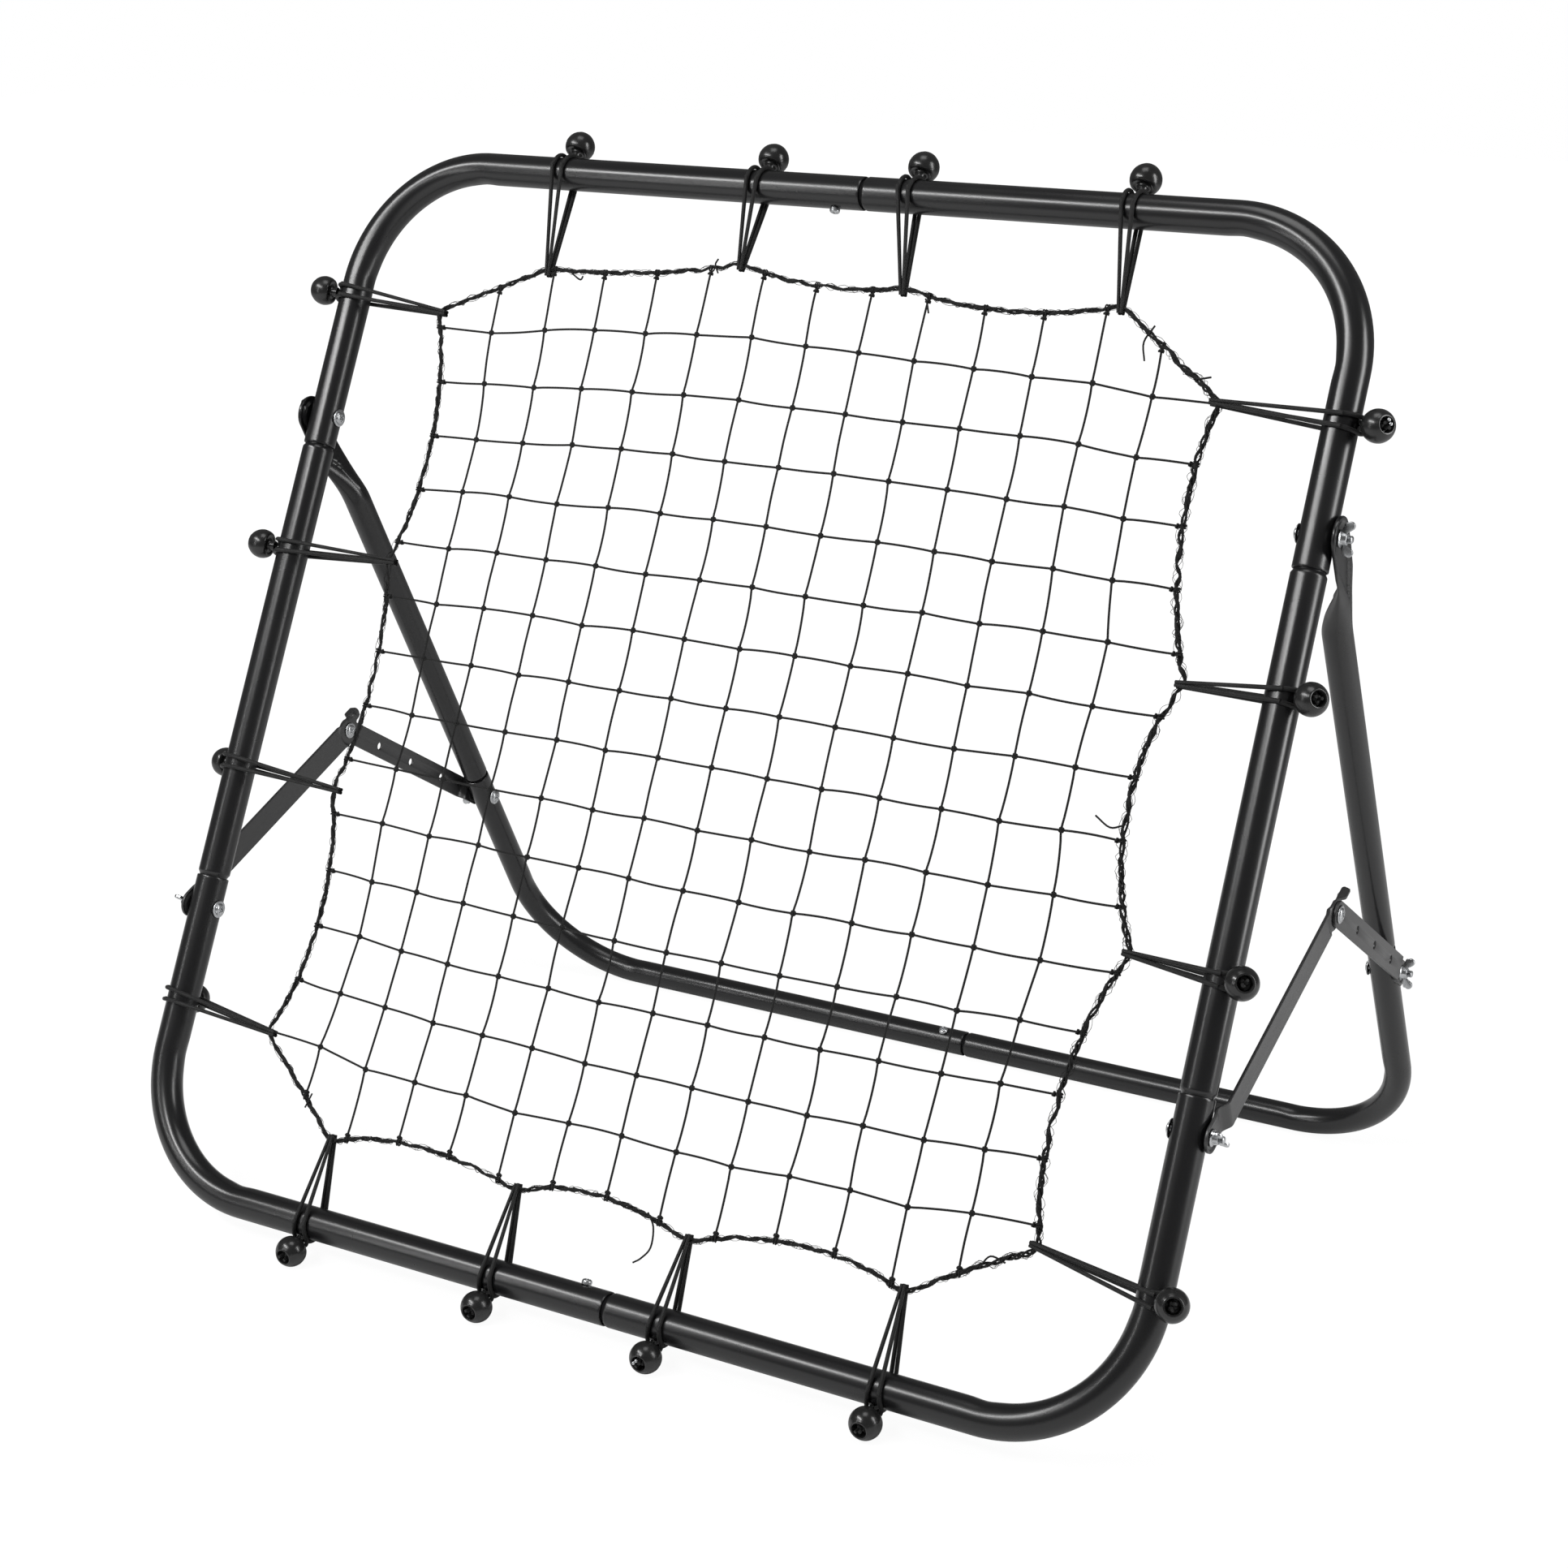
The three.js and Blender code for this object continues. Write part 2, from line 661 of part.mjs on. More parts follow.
function netting() {
  const across = (i) => (i - (netColumns - 1) / 2) * netPitchAcross;
  const up = (j) => (j - (netRows - 1) / 2) * netPitchUp;
  const isEdge = (i, j) => i < 0 || j < 0 || i === netColumns || j === netRows;
  const places = new Map();
  const key = (i, j) => `${i},${j}`;
  for (let i = -1; i <= netColumns; i += 1) {
    for (let j = -1; j <= netRows; j += 1) {
      const place = new THREE.Vector2(across(i), up(j));
      if (i < 0 || i === netColumns) {
        place.x = strandEnd(place.y, 0, Math.sign(place.x));
      } else if (j < 0 || j === netRows) {
        place.y = strandEnd(place.x, 1, Math.sign(place.y));
      }
      places.set(key(i, j), place);
    }
  }
  // The twine pulls every crossing to the mean of its neighbours
  for (let pass = 0; pass < 60; pass += 1) {
    for (let i = 0; i < netColumns; i += 1) {
      for (let j = 0; j < netRows; j += 1) {
        const around = [key(i - 1, j), key(i + 1, j), key(i, j - 1), key(i, j + 1)];
        const mean = new THREE.Vector2();
        around.forEach((name) => mean.addScaledVector(places.get(name), 1 / around.length));
        places.get(key(i, j)).copy(mean);
      }
    }
  }
  const points = [];
  const triangles = [];
  const half = twine / 2;
  const add = (x, y, z) => points.push(new THREE.Vector3(x, y, z)) - 1;
  // A crossing's corners in the order x, z, y, each low then high
  const corners = new Map();
  for (const [name, place] of places) {
    const [i, j] = name.split(',').map(Number);
    if (isEdge(i, j)) {
      continue;
    }
    const block = [-1, 1].map((a) => [-1, 1].map((b) => [-1, 1].map((c) => (
      add(place.x + a * half, c * half, place.y + b * half)
    ))));
    corners.set(name, block);
    const [low, high] = block;
    triangles.push([low[0][0], high[0][0], high[1][0]], [low[0][0], high[1][0], low[1][0]]);
    triangles.push([low[0][1], high[1][1], high[0][1]], [low[0][1], low[1][1], high[1][1]]);
  }
  const squareAcross = (block, a) => [block[a][0][0], block[a][0][1], block[a][1][1], block[a][1][0]];
  const squareUp = (block, b) => [block[0][b][0], block[1][b][0], block[1][b][1], block[0][b][1]];
  const endAcross = (place) => [[-1, -1], [1, -1], [1, 1], [-1, 1]].map(([c, b]) => (
    add(place.x, c * half, place.y + b * half)
  ));
  const endUp = (place) => [[-1, -1], [1, -1], [1, 1], [-1, 1]].map(([a, c]) => (
    add(place.x + a * half, c * half, place.y)
  ));
  const strand = (from, to) => {
    for (let k = 0; k < 4; k += 1) {
      const next = (k + 1) % 4;
      triangles.push([from[k], from[next], to[next]], [from[k], to[next], to[k]]);
    }
  };
  const capStart = ([a, b, c, d]) => triangles.push([a, c, b], [a, d, c]);
  const capEnd = ([a, b, c, d]) => triangles.push([a, b, c], [a, c, d]);
  for (let j = 0; j < netRows; j += 1) {
    let from = endAcross(places.get(key(-1, j)));
    capStart(from);
    for (let i = 0; i < netColumns; i += 1) {
      strand(from, squareAcross(corners.get(key(i, j)), 0));
      from = squareAcross(corners.get(key(i, j)), 1);
    }
    const end = endAcross(places.get(key(netColumns, j)));
    strand(from, end);
    capEnd(end);
  }
  for (let i = 0; i < netColumns; i += 1) {
    let from = endUp(places.get(key(i, -1)));
    capStart(from);
    for (let j = 0; j < netRows; j += 1) {
      strand(from, squareUp(corners.get(key(i, j)), 0));
      from = squareUp(corners.get(key(i, j)), 1);
    }
    const end = endUp(places.get(key(i, netRows)));
    strand(from, end);
    capEnd(end);
  }
  return facedOut(points, triangles);
}

// A ball's axis points away from the tube: a stem, a flat base and, at the outer end, its bore
function ball() {
  const profile = [[0, -ballRadius], [ballNeck, -ballRadius], [ballNeck, -ballBase]];
  const arcSteps = 3;
  const baseAngle = -Math.asin(ballBase / ballRadius);
  const rimAngle = Math.acos(ballRim / ballRadius);
  for (let i = 0; i <= arcSteps; i += 1) {
    const angle = THREE.MathUtils.lerp(baseAngle, rimAngle, i / arcSteps);
    profile.push([ballRadius * Math.cos(angle), ballRadius * Math.sin(angle)]);
  }
  const rim = ballRadius * Math.sin(rimAngle);
  profile.push([ballBore, rim], [ballBore, rim - ballBoreDepth], [0, rim - ballBoreDepth]);
  return turned(profile, ballSides);
}

// A bungee's path in the plane of its hook: out of the tube, to the front, and along the tube.
// It leaves the ball, passes behind the tube, hooks the border and comes back in front.
function bungeePath(reach, turn, slide) {
  const lay = frameRadius + cordClearance + cordRadius;
  const turnRadius = borderRadius + 2 * cordClearance + cordRadius;
  const lean = Math.asin((lay - turnRadius) / reach);
  const half = [];
  const push = (radius, angle, along, drop) => {
    const outward = radius * Math.cos(angle) - drop;
    half.push(new THREE.Vector3(outward, radius * Math.sin(angle), along));
  };
  const arc = (radius, from, to, widestStep, alongFrom, alongTo, drop) => {
    const steps = Math.ceil(Math.abs(to - from) / (widestStep * degree));
    const apart = (to - from) / steps;
    for (let i = 0; i <= steps; i += 1) {
      const onTangent = radius / Math.cos(apart / 2);
      const along = THREE.MathUtils.lerp(alongFrom, alongTo, i / steps);
      push(i === 0 || i === steps ? radius : onTangent, from + apart * i, along, drop);
    }
  };
  const side = Math.PI / 2 + lean;
  arc(lay, turn, -side, layStep, cordSpread, cordSpread, 0);
  arc(turnRadius, -side, side - 2 * Math.PI, hookStep, cordSpread, cordSpread, reach);
  arc(lay, side, turn, layStep, frontSpread, bightSpread, 0);
  const overlap = 2 * cordRadius + 2 * cordClearance;
  push(lay + overlap * 0.65, turn - 17 * degree, bightSpread * 0.75, 0);
  push(lay + overlap, turn - 27 * degree, cordRadius, 0);
  const mirrored = half.map((point) => point.clone().multiply(new THREE.Vector3(1, 1, -1)));
  const path = [...half, ...mirrored.reverse()];
  for (const point of path) {
    point.z += slide * Math.min(1, 1 + point.x / reach);
  }
  return path;
}

function cordAlong(path) {
  const rings = [];
  let normal = new THREE.Vector3(0, 0, 1);
  path.forEach((point, i) => {
    const before = path[Math.max(i - 1, 0)];
    const after = path[Math.min(i + 1, path.length - 1)];
    const direction = after.clone().sub(before).normalize();
    normal = normal.clone().addScaledVector(direction, -normal.dot(direction)).normalize();
    const across = direction.clone().cross(normal);
    const ring = [];
    for (let k = 0; k < cordSides; k += 1) {
      const angle = (k * 2 * Math.PI) / cordSides;
      ring.push(point.clone()
        .addScaledVector(normal, cordRadius * Math.cos(angle))
        .addScaledVector(across, cordRadius * Math.sin(angle)));
    }
    rings.push(ring);
  });
  return skin(rings, false);
}

// From a hook's own directions to the frame: outward, to the front and along the tube
function hookMatrix(hook, tubeAt) {
  const outward = new THREE.Vector3(hook.outward.x, 0, hook.outward.y);
  const front = new THREE.Vector3(0, -1, 0);
  const along = outward.clone().cross(front);
  return new THREE.Matrix4().makeBasis(outward, front, along).setPosition(tubeAt);
}

// Assembly
const model = new THREE.Group();
const frame = new THREE.Group();
frame.rotation.x = -frameTilt * degree;
frame.position.set(
  0,
  halfUp * Math.sin(frameTilt * degree),
  frameGround + halfUp * Math.cos(frameTilt * degree),
);
const stand = new THREE.Group();
stand.rotation.x = standAngle * degree;
stand.position.set(0, (halfUp + boltUp) * Math.sin(frameTilt * degree), pivotHeight);
model.add(frame, stand);

function addMesh(group, name, geometry, material) {
  const faceted = merged(geometry).toNonIndexed();
  faceted.computeVertexNormals();
  const mesh = new THREE.Mesh(faceted, material);
  mesh.name = name;
  group.add(mesh);
  return mesh;
}

const sideNames = { '-1': 'left', 1: 'right' };

for (const signX of [-1, 1]) {
  const side = sideNames[signX];
  addMesh(frame, `frame_corner_top_${side}`, frontCorner(signX, 1), blackSteel);
  addMesh(frame, `frame_corner_bottom_${side}`, frontCorner(signX, -1), blackSteel);
  addMesh(frame, `frame_side_tube_${side}`, sideTube(signX), blackSteel);
  addMesh(stand, `stand_leg_${side}`, upperLeg(signX), blackSteel);
  addMesh(stand, `stand_corner_${side}`, standCorner(signX), blackSteel);
}

// Where the brace pin sits when the stand is open: behind and up, in the frame's own plane
const legBoltPoint = new THREE.Vector2(
  legBolt * Math.sin(openAngle),
  boltUp - legBolt * Math.cos(openAngle),
);
const strutFoot = new THREE.Vector2(0, -boltUp);
const chord = legBoltPoint.clone().sub(strutFoot);
const foot = (strutLength ** 2 + chord.lengthSq() - barLength ** 2) / (2 * chord.length());
const rise = Math.sqrt(strutLength ** 2 - foot ** 2);
const chordUnit = chord.clone().normalize();
const pinPoint = strutFoot.clone()
  .addScaledVector(chordUnit, foot)
  .addScaledVector(new THREE.Vector2(-chordUnit.y, chordUnit.x), rise);
const strutAngle = Math.atan2(pinPoint.x - strutFoot.x, pinPoint.y - strutFoot.y);
const barAngle = Math.atan2(pinPoint.x - legBoltPoint.x, pinPoint.y - legBoltPoint.y) + openAngle;

const headOnFrame = halfAcross - frameRadius - fit;
const headOnLeg = legAcross - standRadius - fit;
const nutOnTongue = halfAcross + frameRadius + fit + tongueThickness + fit;
const wingTurns = { pivot: 20 * degree, strut: 75 * degree, bar: -35 * degree };

for (const signX of [-1, 1]) {
  const side = sideNames[signX];
  const handed = (geometry) => (signX < 0 ? mirroredAcross(geometry) : geometry);
  const braceAtFrame = new THREE.Group();
  braceAtFrame.position.z = -boltUp;
  braceAtFrame.rotation.x = -strutAngle;
  frame.add(braceAtFrame);
  const braceAtLeg = new THREE.Group();
  braceAtLeg.position.z = -legBolt;
  braceAtLeg.rotation.x = -barAngle;
  stand.add(braceAtLeg);
  addMesh(braceAtFrame, `brace_strut_${side}`, handed(strut()), blackSteel);
  addMesh(braceAtLeg, `brace_bar_${side}`, handed(drilledBar()), blackSteel);
  addMesh(braceAtLeg, `brace_pin_${side}`, handed(bracePin()), zincSteel);
  const pivotBolt = wingBolt(headOnFrame, nutOnTongue, wingTurns.pivot).translate(0, 0, boltUp);
  addMesh(frame, `pivot_bolt_${side}`, handed(pivotBolt), zincSteel);
  const strutNut = strutLevel + plate + fit;
  const strutBolt = wingBolt(headOnFrame, strutNut, wingTurns.strut).translate(0, 0, -boltUp);
  addMesh(frame, `strut_bolt_${side}`, handed(strutBolt), zincSteel);
  const barNut = barEndLevel + plate + fit;
  const barBolt = wingBolt(headOnLeg, barNut, wingTurns.bar).translate(0, 0, -legBolt);
  addMesh(stand, `bar_bolt_${side}`, handed(barBolt), zincSteel);
}

// A joint screw's own frame has the tube's axis at its origin and its head towards +Z
const topScrew = jointScrew().rotateX(Math.PI).translate(0, 0, halfUp);
addMesh(frame, 'joint_screw_top', topScrew, zincSteel);
addMesh(frame, 'joint_screw_bottom', jointScrew().translate(0, 0, -halfUp), zincSteel);
const rearScrew = jointScrew().translate(0, 0, standRadius - frameRadius - legLength);
addMesh(stand, 'joint_screw_rear', rearScrew, zincSteel);

addMesh(frame, 'net_border_cord', borderCord(), blackTwine);
addMesh(frame, 'net', netting(), blackTwine);

const hookNames = [];
for (const [row, order] of [['top', [1, 2, 3, 4]], ['right', [1, 2, 3, 4]],
  ['bottom', [4, 3, 2, 1]], ['left', [4, 3, 2, 1]]]) {
  order.forEach((number) => hookNames.push([row, number]));
}
hooks.forEach((hook, i) => {
  const [row, number] = hookNames[i];
  const turn = ballTurns[row][number - 1] * degree;
  const slide = ballSlides[row][number - 1];
  const centre = hook.point.clone().addScaledVector(hook.outward, hook.reach);
  const matrix = hookMatrix(hook, new THREE.Vector3(centre.x, 0, centre.y));
  const cord = cordAlong(bungeePath(hook.reach, turn, slide)).applyMatrix4(matrix);
  addMesh(frame, `bungee_${row}_${number}`, cord, blackElastic);
  const bead = ball().translate(ballOffset, 0, 0).rotateZ(turn).translate(0, 0, slide);
  addMesh(frame, `ball_${row}_${number}`, bead.applyMatrix4(matrix), blackPlastic);
});

// The origin goes under the middle of the whole object
model.updateMatrixWorld(true);
const middle = new THREE.Box3().setFromObject(model, true).getCenter(new THREE.Vector3());
model.position.set(-middle.x, -middle.y, 0);

export default model;
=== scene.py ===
import bpy
import bmesh
import json
import random
from math import asin, atan2, cos, hypot, pi, radians, sin, sqrt
from mathutils import Matrix, Vector

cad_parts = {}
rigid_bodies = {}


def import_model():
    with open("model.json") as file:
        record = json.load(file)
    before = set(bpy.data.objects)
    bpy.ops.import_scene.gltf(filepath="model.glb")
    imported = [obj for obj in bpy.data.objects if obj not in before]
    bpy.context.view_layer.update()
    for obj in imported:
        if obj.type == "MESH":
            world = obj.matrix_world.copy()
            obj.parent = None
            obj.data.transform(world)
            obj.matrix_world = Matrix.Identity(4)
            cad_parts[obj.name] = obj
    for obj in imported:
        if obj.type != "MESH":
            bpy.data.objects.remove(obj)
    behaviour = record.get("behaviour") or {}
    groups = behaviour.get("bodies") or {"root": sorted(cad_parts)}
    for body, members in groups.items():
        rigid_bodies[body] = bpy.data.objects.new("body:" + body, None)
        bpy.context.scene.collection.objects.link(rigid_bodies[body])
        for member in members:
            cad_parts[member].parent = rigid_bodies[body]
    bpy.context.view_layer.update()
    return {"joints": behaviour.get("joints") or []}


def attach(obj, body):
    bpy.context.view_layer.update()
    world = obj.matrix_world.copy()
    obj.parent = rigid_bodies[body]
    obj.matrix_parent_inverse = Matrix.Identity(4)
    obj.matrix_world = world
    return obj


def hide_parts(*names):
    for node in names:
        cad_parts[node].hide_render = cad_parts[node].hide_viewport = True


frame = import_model()
print("frame loaded")

# Sizes are in millimetres: every piece is made flat in its own frame, then placed in metres
layout = {
    "tilt": 26.5,  # lean of the front frame, degrees
    "standAngle": 28.0,  # lean of the rear stand, degrees
    "half": 466.0,  # tube centre line, from the middle of the frame
    "boltUp": 226.0,  # pivot and brace bolts, from the middle of the frame
    "legBolt": 482.0,  # leg brace bolt, from the pivot
    "legAcross": 471.3,  # centre line of the legs, from the middle of the stand
    "rearDrop": 719.797,  # centre line of the rear bar, from the pivot
    "screwGap": 0.3,  # between a tube and the head of its joint screw
}
view = {"away": (1.1401, -1.8705, 0.6863), "down": 18.353, "turn": 29.85, "lens": 64.65}
half = layout["half"]
hands = {-1: "left", 1: "right"}
joints = {joint["name"]: joint for joint in frame["joints"]}
pivot = Vector(joints["stand_fold"]["pos_m"])
toMetres = Matrix.Scale(0.001, 4)


def turned(angle, axis="X"):
    return Matrix.Rotation(angle, 4, axis)


def shifted(x, y, z):
    return Matrix.Translation((x, y, z))


def newObject(name, data):
    made = bpy.data.objects.new(name, data)
    bpy.context.scene.collection.objects.link(made)
    return made


lean = turned(-radians(layout["tilt"]))
frameMiddle = pivot - lean.to_3x3() @ Vector((0, 0, layout["boltUp"] * 0.001))
onFrame = Matrix.Translation(frameMiddle) @ lean @ toMetres
onStand = Matrix.Translation(pivot) @ turned(radians(layout["standAngle"])) @ toMetres
flip = {-1: Matrix.Scale(-1, 4, (1, 0, 0)), 1: Matrix.Identity(4)}

# Camera at the photograph's angle
camera = newObject("camera", bpy.data.cameras.new("camera"))
camera.location = frameMiddle + Vector(view["away"])
camera.rotation_euler = (radians(90 - view["down"]), 0, radians(view["turn"]))
camera.data.lens = view["lens"]
camera.data.sensor_width = 36
camera.data.clip_start = 0.05
bpy.context.scene.camera = camera
bpy.context.scene.view_settings.view_transform = "Standard"

# Lamps by direction and height in degrees, distance and size in metres
lamps = {
    "key": {"azimuth": -30, "height": 40, "away": 3.0, "size": (2.2, 0.3), "watts": 58},
    "leftStrip": {"azimuth": -34, "height": 16, "away": 3.0, "size": (0.12, 1.6), "watts": 9},
    "rightSide": {"azimuth": 94, "height": 18, "away": 2.6, "size": (0.6, 2.0), "watts": 38},
    "ceiling": {"azimuth": 20, "height": 84, "away": 3.0, "size": (1.4, 1.4), "watts": 20},
}
light = {
    "aim": (0, 0.05, 0.42),
    "world": 0.16,  # how strongly the white room lights the object
    "mirrored": 0.16,  # how bright the room looks in the object's sheen
    "floorGlow": 0.9,  # share of the floor that is plain white to the camera
    "floorWhite": 1.05,  # strength of that white
}


def areaLight(name, azimuth, height, away, size, watts):
    lamp = bpy.data.lights.new(name, "AREA")
    lamp.shape = "RECTANGLE"
    lamp.size, lamp.size_y = size
    lamp.energy = watts
    across, up = radians(azimuth), radians(height)
    way = Vector((sin(across) * cos(up), -cos(across) * cos(up), sin(up)))
    holder = newObject(name, lamp)
    holder.location = Vector(light["aim"]) + way * away
    holder.rotation_euler = way.to_track_quat("Z", "Y").to_euler()


for name, values in lamps.items():
    areaLight(name, **values)


# Shader helpers: one call adds a node, sets its plain values and joins its inputs
def addNode(tree, kind, inputs=None, **settings):
    node = tree.nodes.new(kind)
    for key, value in settings.items():
        setattr(node, key, value)
    for key, value in (inputs or {}).items():
        if isinstance(value, bpy.types.NodeSocket):
            tree.links.new(value, node.inputs[key])
        else:
            node.inputs[key].default_value = value
    return node


def newGroup(name, inputs, outputs):
    group = bpy.data.node_groups.new(name, "ShaderNodeTree")
    for label, value in inputs.items():
        socket = group.interface.new_socket(label, in_out="INPUT", socket_type="NodeSocketFloat")
        socket.default_value = value
    for label in outputs:
        group.interface.new_socket(label, in_out="OUTPUT", socket_type="NodeSocketFloat")
    return group, group.nodes.new("NodeGroupInput").outputs, group.nodes.new("NodeGroupOutput").inputs


def mathNode(tree, operation, first, second=0.0):
    return addNode(tree, "ShaderNodeMath", {0: first, 1: second}, operation=operation).outputs[0]


def ranged(tree, value, low, high, toLow=0.0, toHigh=1.0):
    inputs = {"Value": value, "From Min": low, "From Max": high, "To Min": toLow, "To Max": toHigh}
    return addNode(tree, "ShaderNodeMapRange", inputs).outputs["Result"]


def noise(tree, place, scale, detail):
    return addNode(tree, "ShaderNodeTexNoise", {"Vector": place, "Scale": scale, "Detail": detail}).outputs["Fac"]


def objectPlace(tree):
    return addNode(tree, "ShaderNodeTexCoord").outputs["Object"]


def linkAll(tree, pairs, sockets):
    for label, value in pairs.items():
        tree.links.new(value, sockets[label])


def grainGroup():
    group, given, result = newGroup(
        "surfaceGrain", {"Size": 900.0, "Patch": 40.0, "Low": 0.3, "High": 0.4}, ("Height", "Rough", "Patches"))
    place = objectPlace(group)
    broad = noise(group, place, given["Patch"], 4.0)
    linkAll(group, {
        "Height": noise(group, place, given["Size"], 3.0),
        "Rough": ranged(group, broad, 0.3, 0.7, given["Low"], given["High"]),
        "Patches": broad,
    }, result)
    return group


def wearGroup():
    # Rubbed corners, broken up by noise, and specks of dust
    group, given, result = newGroup(
        "rubbedEdges", {"Edge": 0.53, "Break": 220.0, "Specks": 1500.0}, ("Worn", "Dust"))
    place = objectPlace(group)
    corner = addNode(group, "ShaderNodeNewGeometry").outputs["Pointiness"]
    breaks = noise(group, place, given["Break"], 5.0)
    rim = ranged(group, corner, given["Edge"], mathNode(group, "ADD", given["Edge"], 0.06))
    specks = addNode(group, "ShaderNodeTexVoronoi", {"Vector": place, "Scale": given["Specks"]})
    dust = ranged(group, specks.outputs["Distance"], 0.05, 0.12, 1.0, 0.0)
    linkAll(group, {
        "Worn": mathNode(group, "MULTIPLY", rim, ranged(group, breaks, 0.52, 0.66)),
        "Dust": mathNode(group, "MULTIPLY", dust, ranged(group, breaks, 0.6, 0.75)),
    }, result)
    return group


def layGroup():
    # Yarns that wind round a cord, read from the cord's own attributes; Shade is a painted shade that darkens the
    # grooves between the yarns
    group, given, result = newGroup("cordLay", {"Yarns": 6.0, "Turn": 1.0, "Braid": 0.0}, ("Height", "Shade"))
    along = addNode(group, "ShaderNodeAttribute", attribute_name="cordAlong").outputs["Fac"]
    around = addNode(group, "ShaderNodeAttribute", attribute_name="cordAround").outputs["Vector"]
    parts = addNode(group, "ShaderNodeSeparateXYZ", {0: around})
    angle = mathNode(group, "ARCTAN2", parts.outputs["Y"], parts.outputs["X"])
    wound = mathNode(group, "MULTIPLY", angle, given["Yarns"])
    run = mathNode(group, "MULTIPLY", along, given["Turn"])
    one = mathNode(group, "SINE", mathNode(group, "ADD", wound, run))
    other = mathNode(group, "SINE", mathNode(group, "SUBTRACT", wound, run))
    crossed = mathNode(group, "MAXIMUM", one, mathNode(group, "MULTIPLY", other, given["Braid"]))
    linkAll(group, {"Height": ranged(group, crossed, -1.0, 1.0),
                    "Shade": ranged(group, crossed, -1.0, 1.0, 0.35, 1.0)}, result)
    return group


groups = {"grain": grainGroup(), "wear": wearGroup(), "lay": layGroup()}


def placed(tree, name, **values):
    node = tree.nodes.new("ShaderNodeGroup")
    node.node_tree = groups[name]
    for key, value in values.items():
        node.inputs[key].default_value = value
    return node.outputs


def newMaterial(name):
    material = bpy.data.materials.new(name)
    material.use_nodes = True
    tree = material.node_tree
    return material, tree, tree.nodes["Principled BSDF"].inputs


def bump(tree, height, strength, distance, normal=None):
    inputs = {"Height": height, "Strength": strength, "Distance": distance}
    if normal is not None:
        inputs["Normal"] = normal
    return addNode(tree, "ShaderNodeBump", inputs).outputs["Normal"]


def mixColour(tree, share, first, second):
    return addNode(tree, "ShaderNodeMix", {0: share, 6: first, 7: second}, data_type="RGBA").outputs[2]


def grey(level):
    return level, level, level, 1


finish = {
    "powder": {"colour": (0.0065, 0.0065, 0.007, 1), "other": (0.010, 0.010, 0.0105, 1),
               "worn": (0.03, 0.03, 0.031, 1), "dust": grey(0.12), "dusty": 0.5, "wear": {}, "low": 0.23,
               "high": 0.3, "grain": (1100.0, 9.0), "relief": (0.35, 0.00006), "plain": {"specular": 0.5}},
    "plate": {"colour": (0.012, 0.012, 0.0125, 1), "other": (0.018, 0.018, 0.0185, 1),
              "worn": (0.07, 0.07, 0.072, 1), "dust": grey(0.12), "dusty": 0.5, "wear": {}, "low": 0.36,
              "high": 0.46, "grain": (1100.0, 9.0), "relief": (0.35, 0.00006), "plain": {"specular": 0.8}},
    "zinc": {"colour": (0.62, 0.63, 0.64, 1), "other": (0.36, 0.37, 0.38, 1), "low": 0.2, "high": 0.38,
             "grain": (2400.0, 260.0), "relief": (0.3, 0.00004), "plain": {"metallic": 1.0}},
    "plastic": {"colour": grey(0.009), "other": grey(0.015), "dust": grey(0.08), "dusty": 1.0,
                "wear": {"Edge": 0.56, "Break": 300.0, "Specks": 2200.0}, "low": 0.2, "high": 0.3,
                "grain": (1800.0, 60.0), "relief": (0.4, 0.00005), "plain": {"specular": 0.5}},
    # Cords: their own black, and a darker painted shade for the grooves between their yarns
    "elastic": {"colour": grey(0.007), "grooveShade": grey(0.002), "rough": 0.5},
    "twine": {"colour": grey(0.007), "grooveShade": grey(0.002), "rough": 0.7},
}


def dressed(tree, surface, colour, grain, relief, **plain):
    # Relief is the grain's strength and depth in metres, then the bump it lies on
    linkAll(tree, {"Base Color": colour, "Roughness": grain["Rough"],
                   "Normal": bump(tree, grain["Height"], *relief)}, surface)
    for label, value in plain.items():
        surface[plainInputs[label]].default_value = value


plainInputs = {"specular": "Specular IOR Level", "metallic": "Metallic", "sheen": "Sheen Weight",
               "sheenRough": "Sheen Roughness"}


def coatMaterial(name, values):
    material, tree, surface = newMaterial(name)
    size, patch = values["grain"]
    grain = placed(tree, "grain", Size=size, Patch=patch, Low=values["low"], High=values["high"])
    base = mixColour(tree, grain["Patches"], values["colour"], values["other"])
    if "dust" in values:
        wear = placed(tree, "wear", **values["wear"])
        if "worn" in values:
            base = mixColour(tree, wear["Worn"], base, values["worn"])
        amount = mathNode(tree, "MULTIPLY", wear["Dust"], values["dusty"])
        base = mixColour(tree, amount, base, values["dust"])
    dressed(tree, surface, base, grain, values["relief"], **values["plain"])
    return material


def cordMaterial(name, values, yarns, turn, braid, relief):
    material, tree, surface = newMaterial(name)
    lay = placed(tree, "lay", Yarns=yarns, Turn=turn, Braid=braid)
    grain = placed(tree, "grain", Size=3200.0, Patch=120.0, Low=values["rough"] - 0.06, High=values["rough"] + 0.1)
    # Painted shade: the colour darkens from the yarns' crests into the grooves between them
    base = mixColour(tree, lay["Shade"], values["grooveShade"], values["colour"])
    yarn = bump(tree, lay["Height"], 0.8, relief)
    dressed(tree, surface, base, grain, (0.5, 0.0001, yarn), sheen=0.06, sheenRough=0.5, specular=0.3)
    return material


materials = {
    "powder": coatMaterial("blackPowderCoat", finish["powder"]),
    "plate": coatMaterial("blackPressedPlate", finish["plate"]),
    "zinc": coatMaterial("zincPlate", finish["zinc"]),
    "plastic": coatMaterial("ballPlastic", finish["plastic"]),
    "elastic": cordMaterial("braidedElastic", finish["elastic"], 8.0, 2.2, 1.0, 0.00022),
    "twine": cordMaterial("knottedTwine", finish["twine"], 3.0, 2.4, 0.0, 0.0003),
    "border": cordMaterial("twistedBorder", finish["twine"], 4.0, 2.0, 0.0, 0.0003),
}
print("materials made")


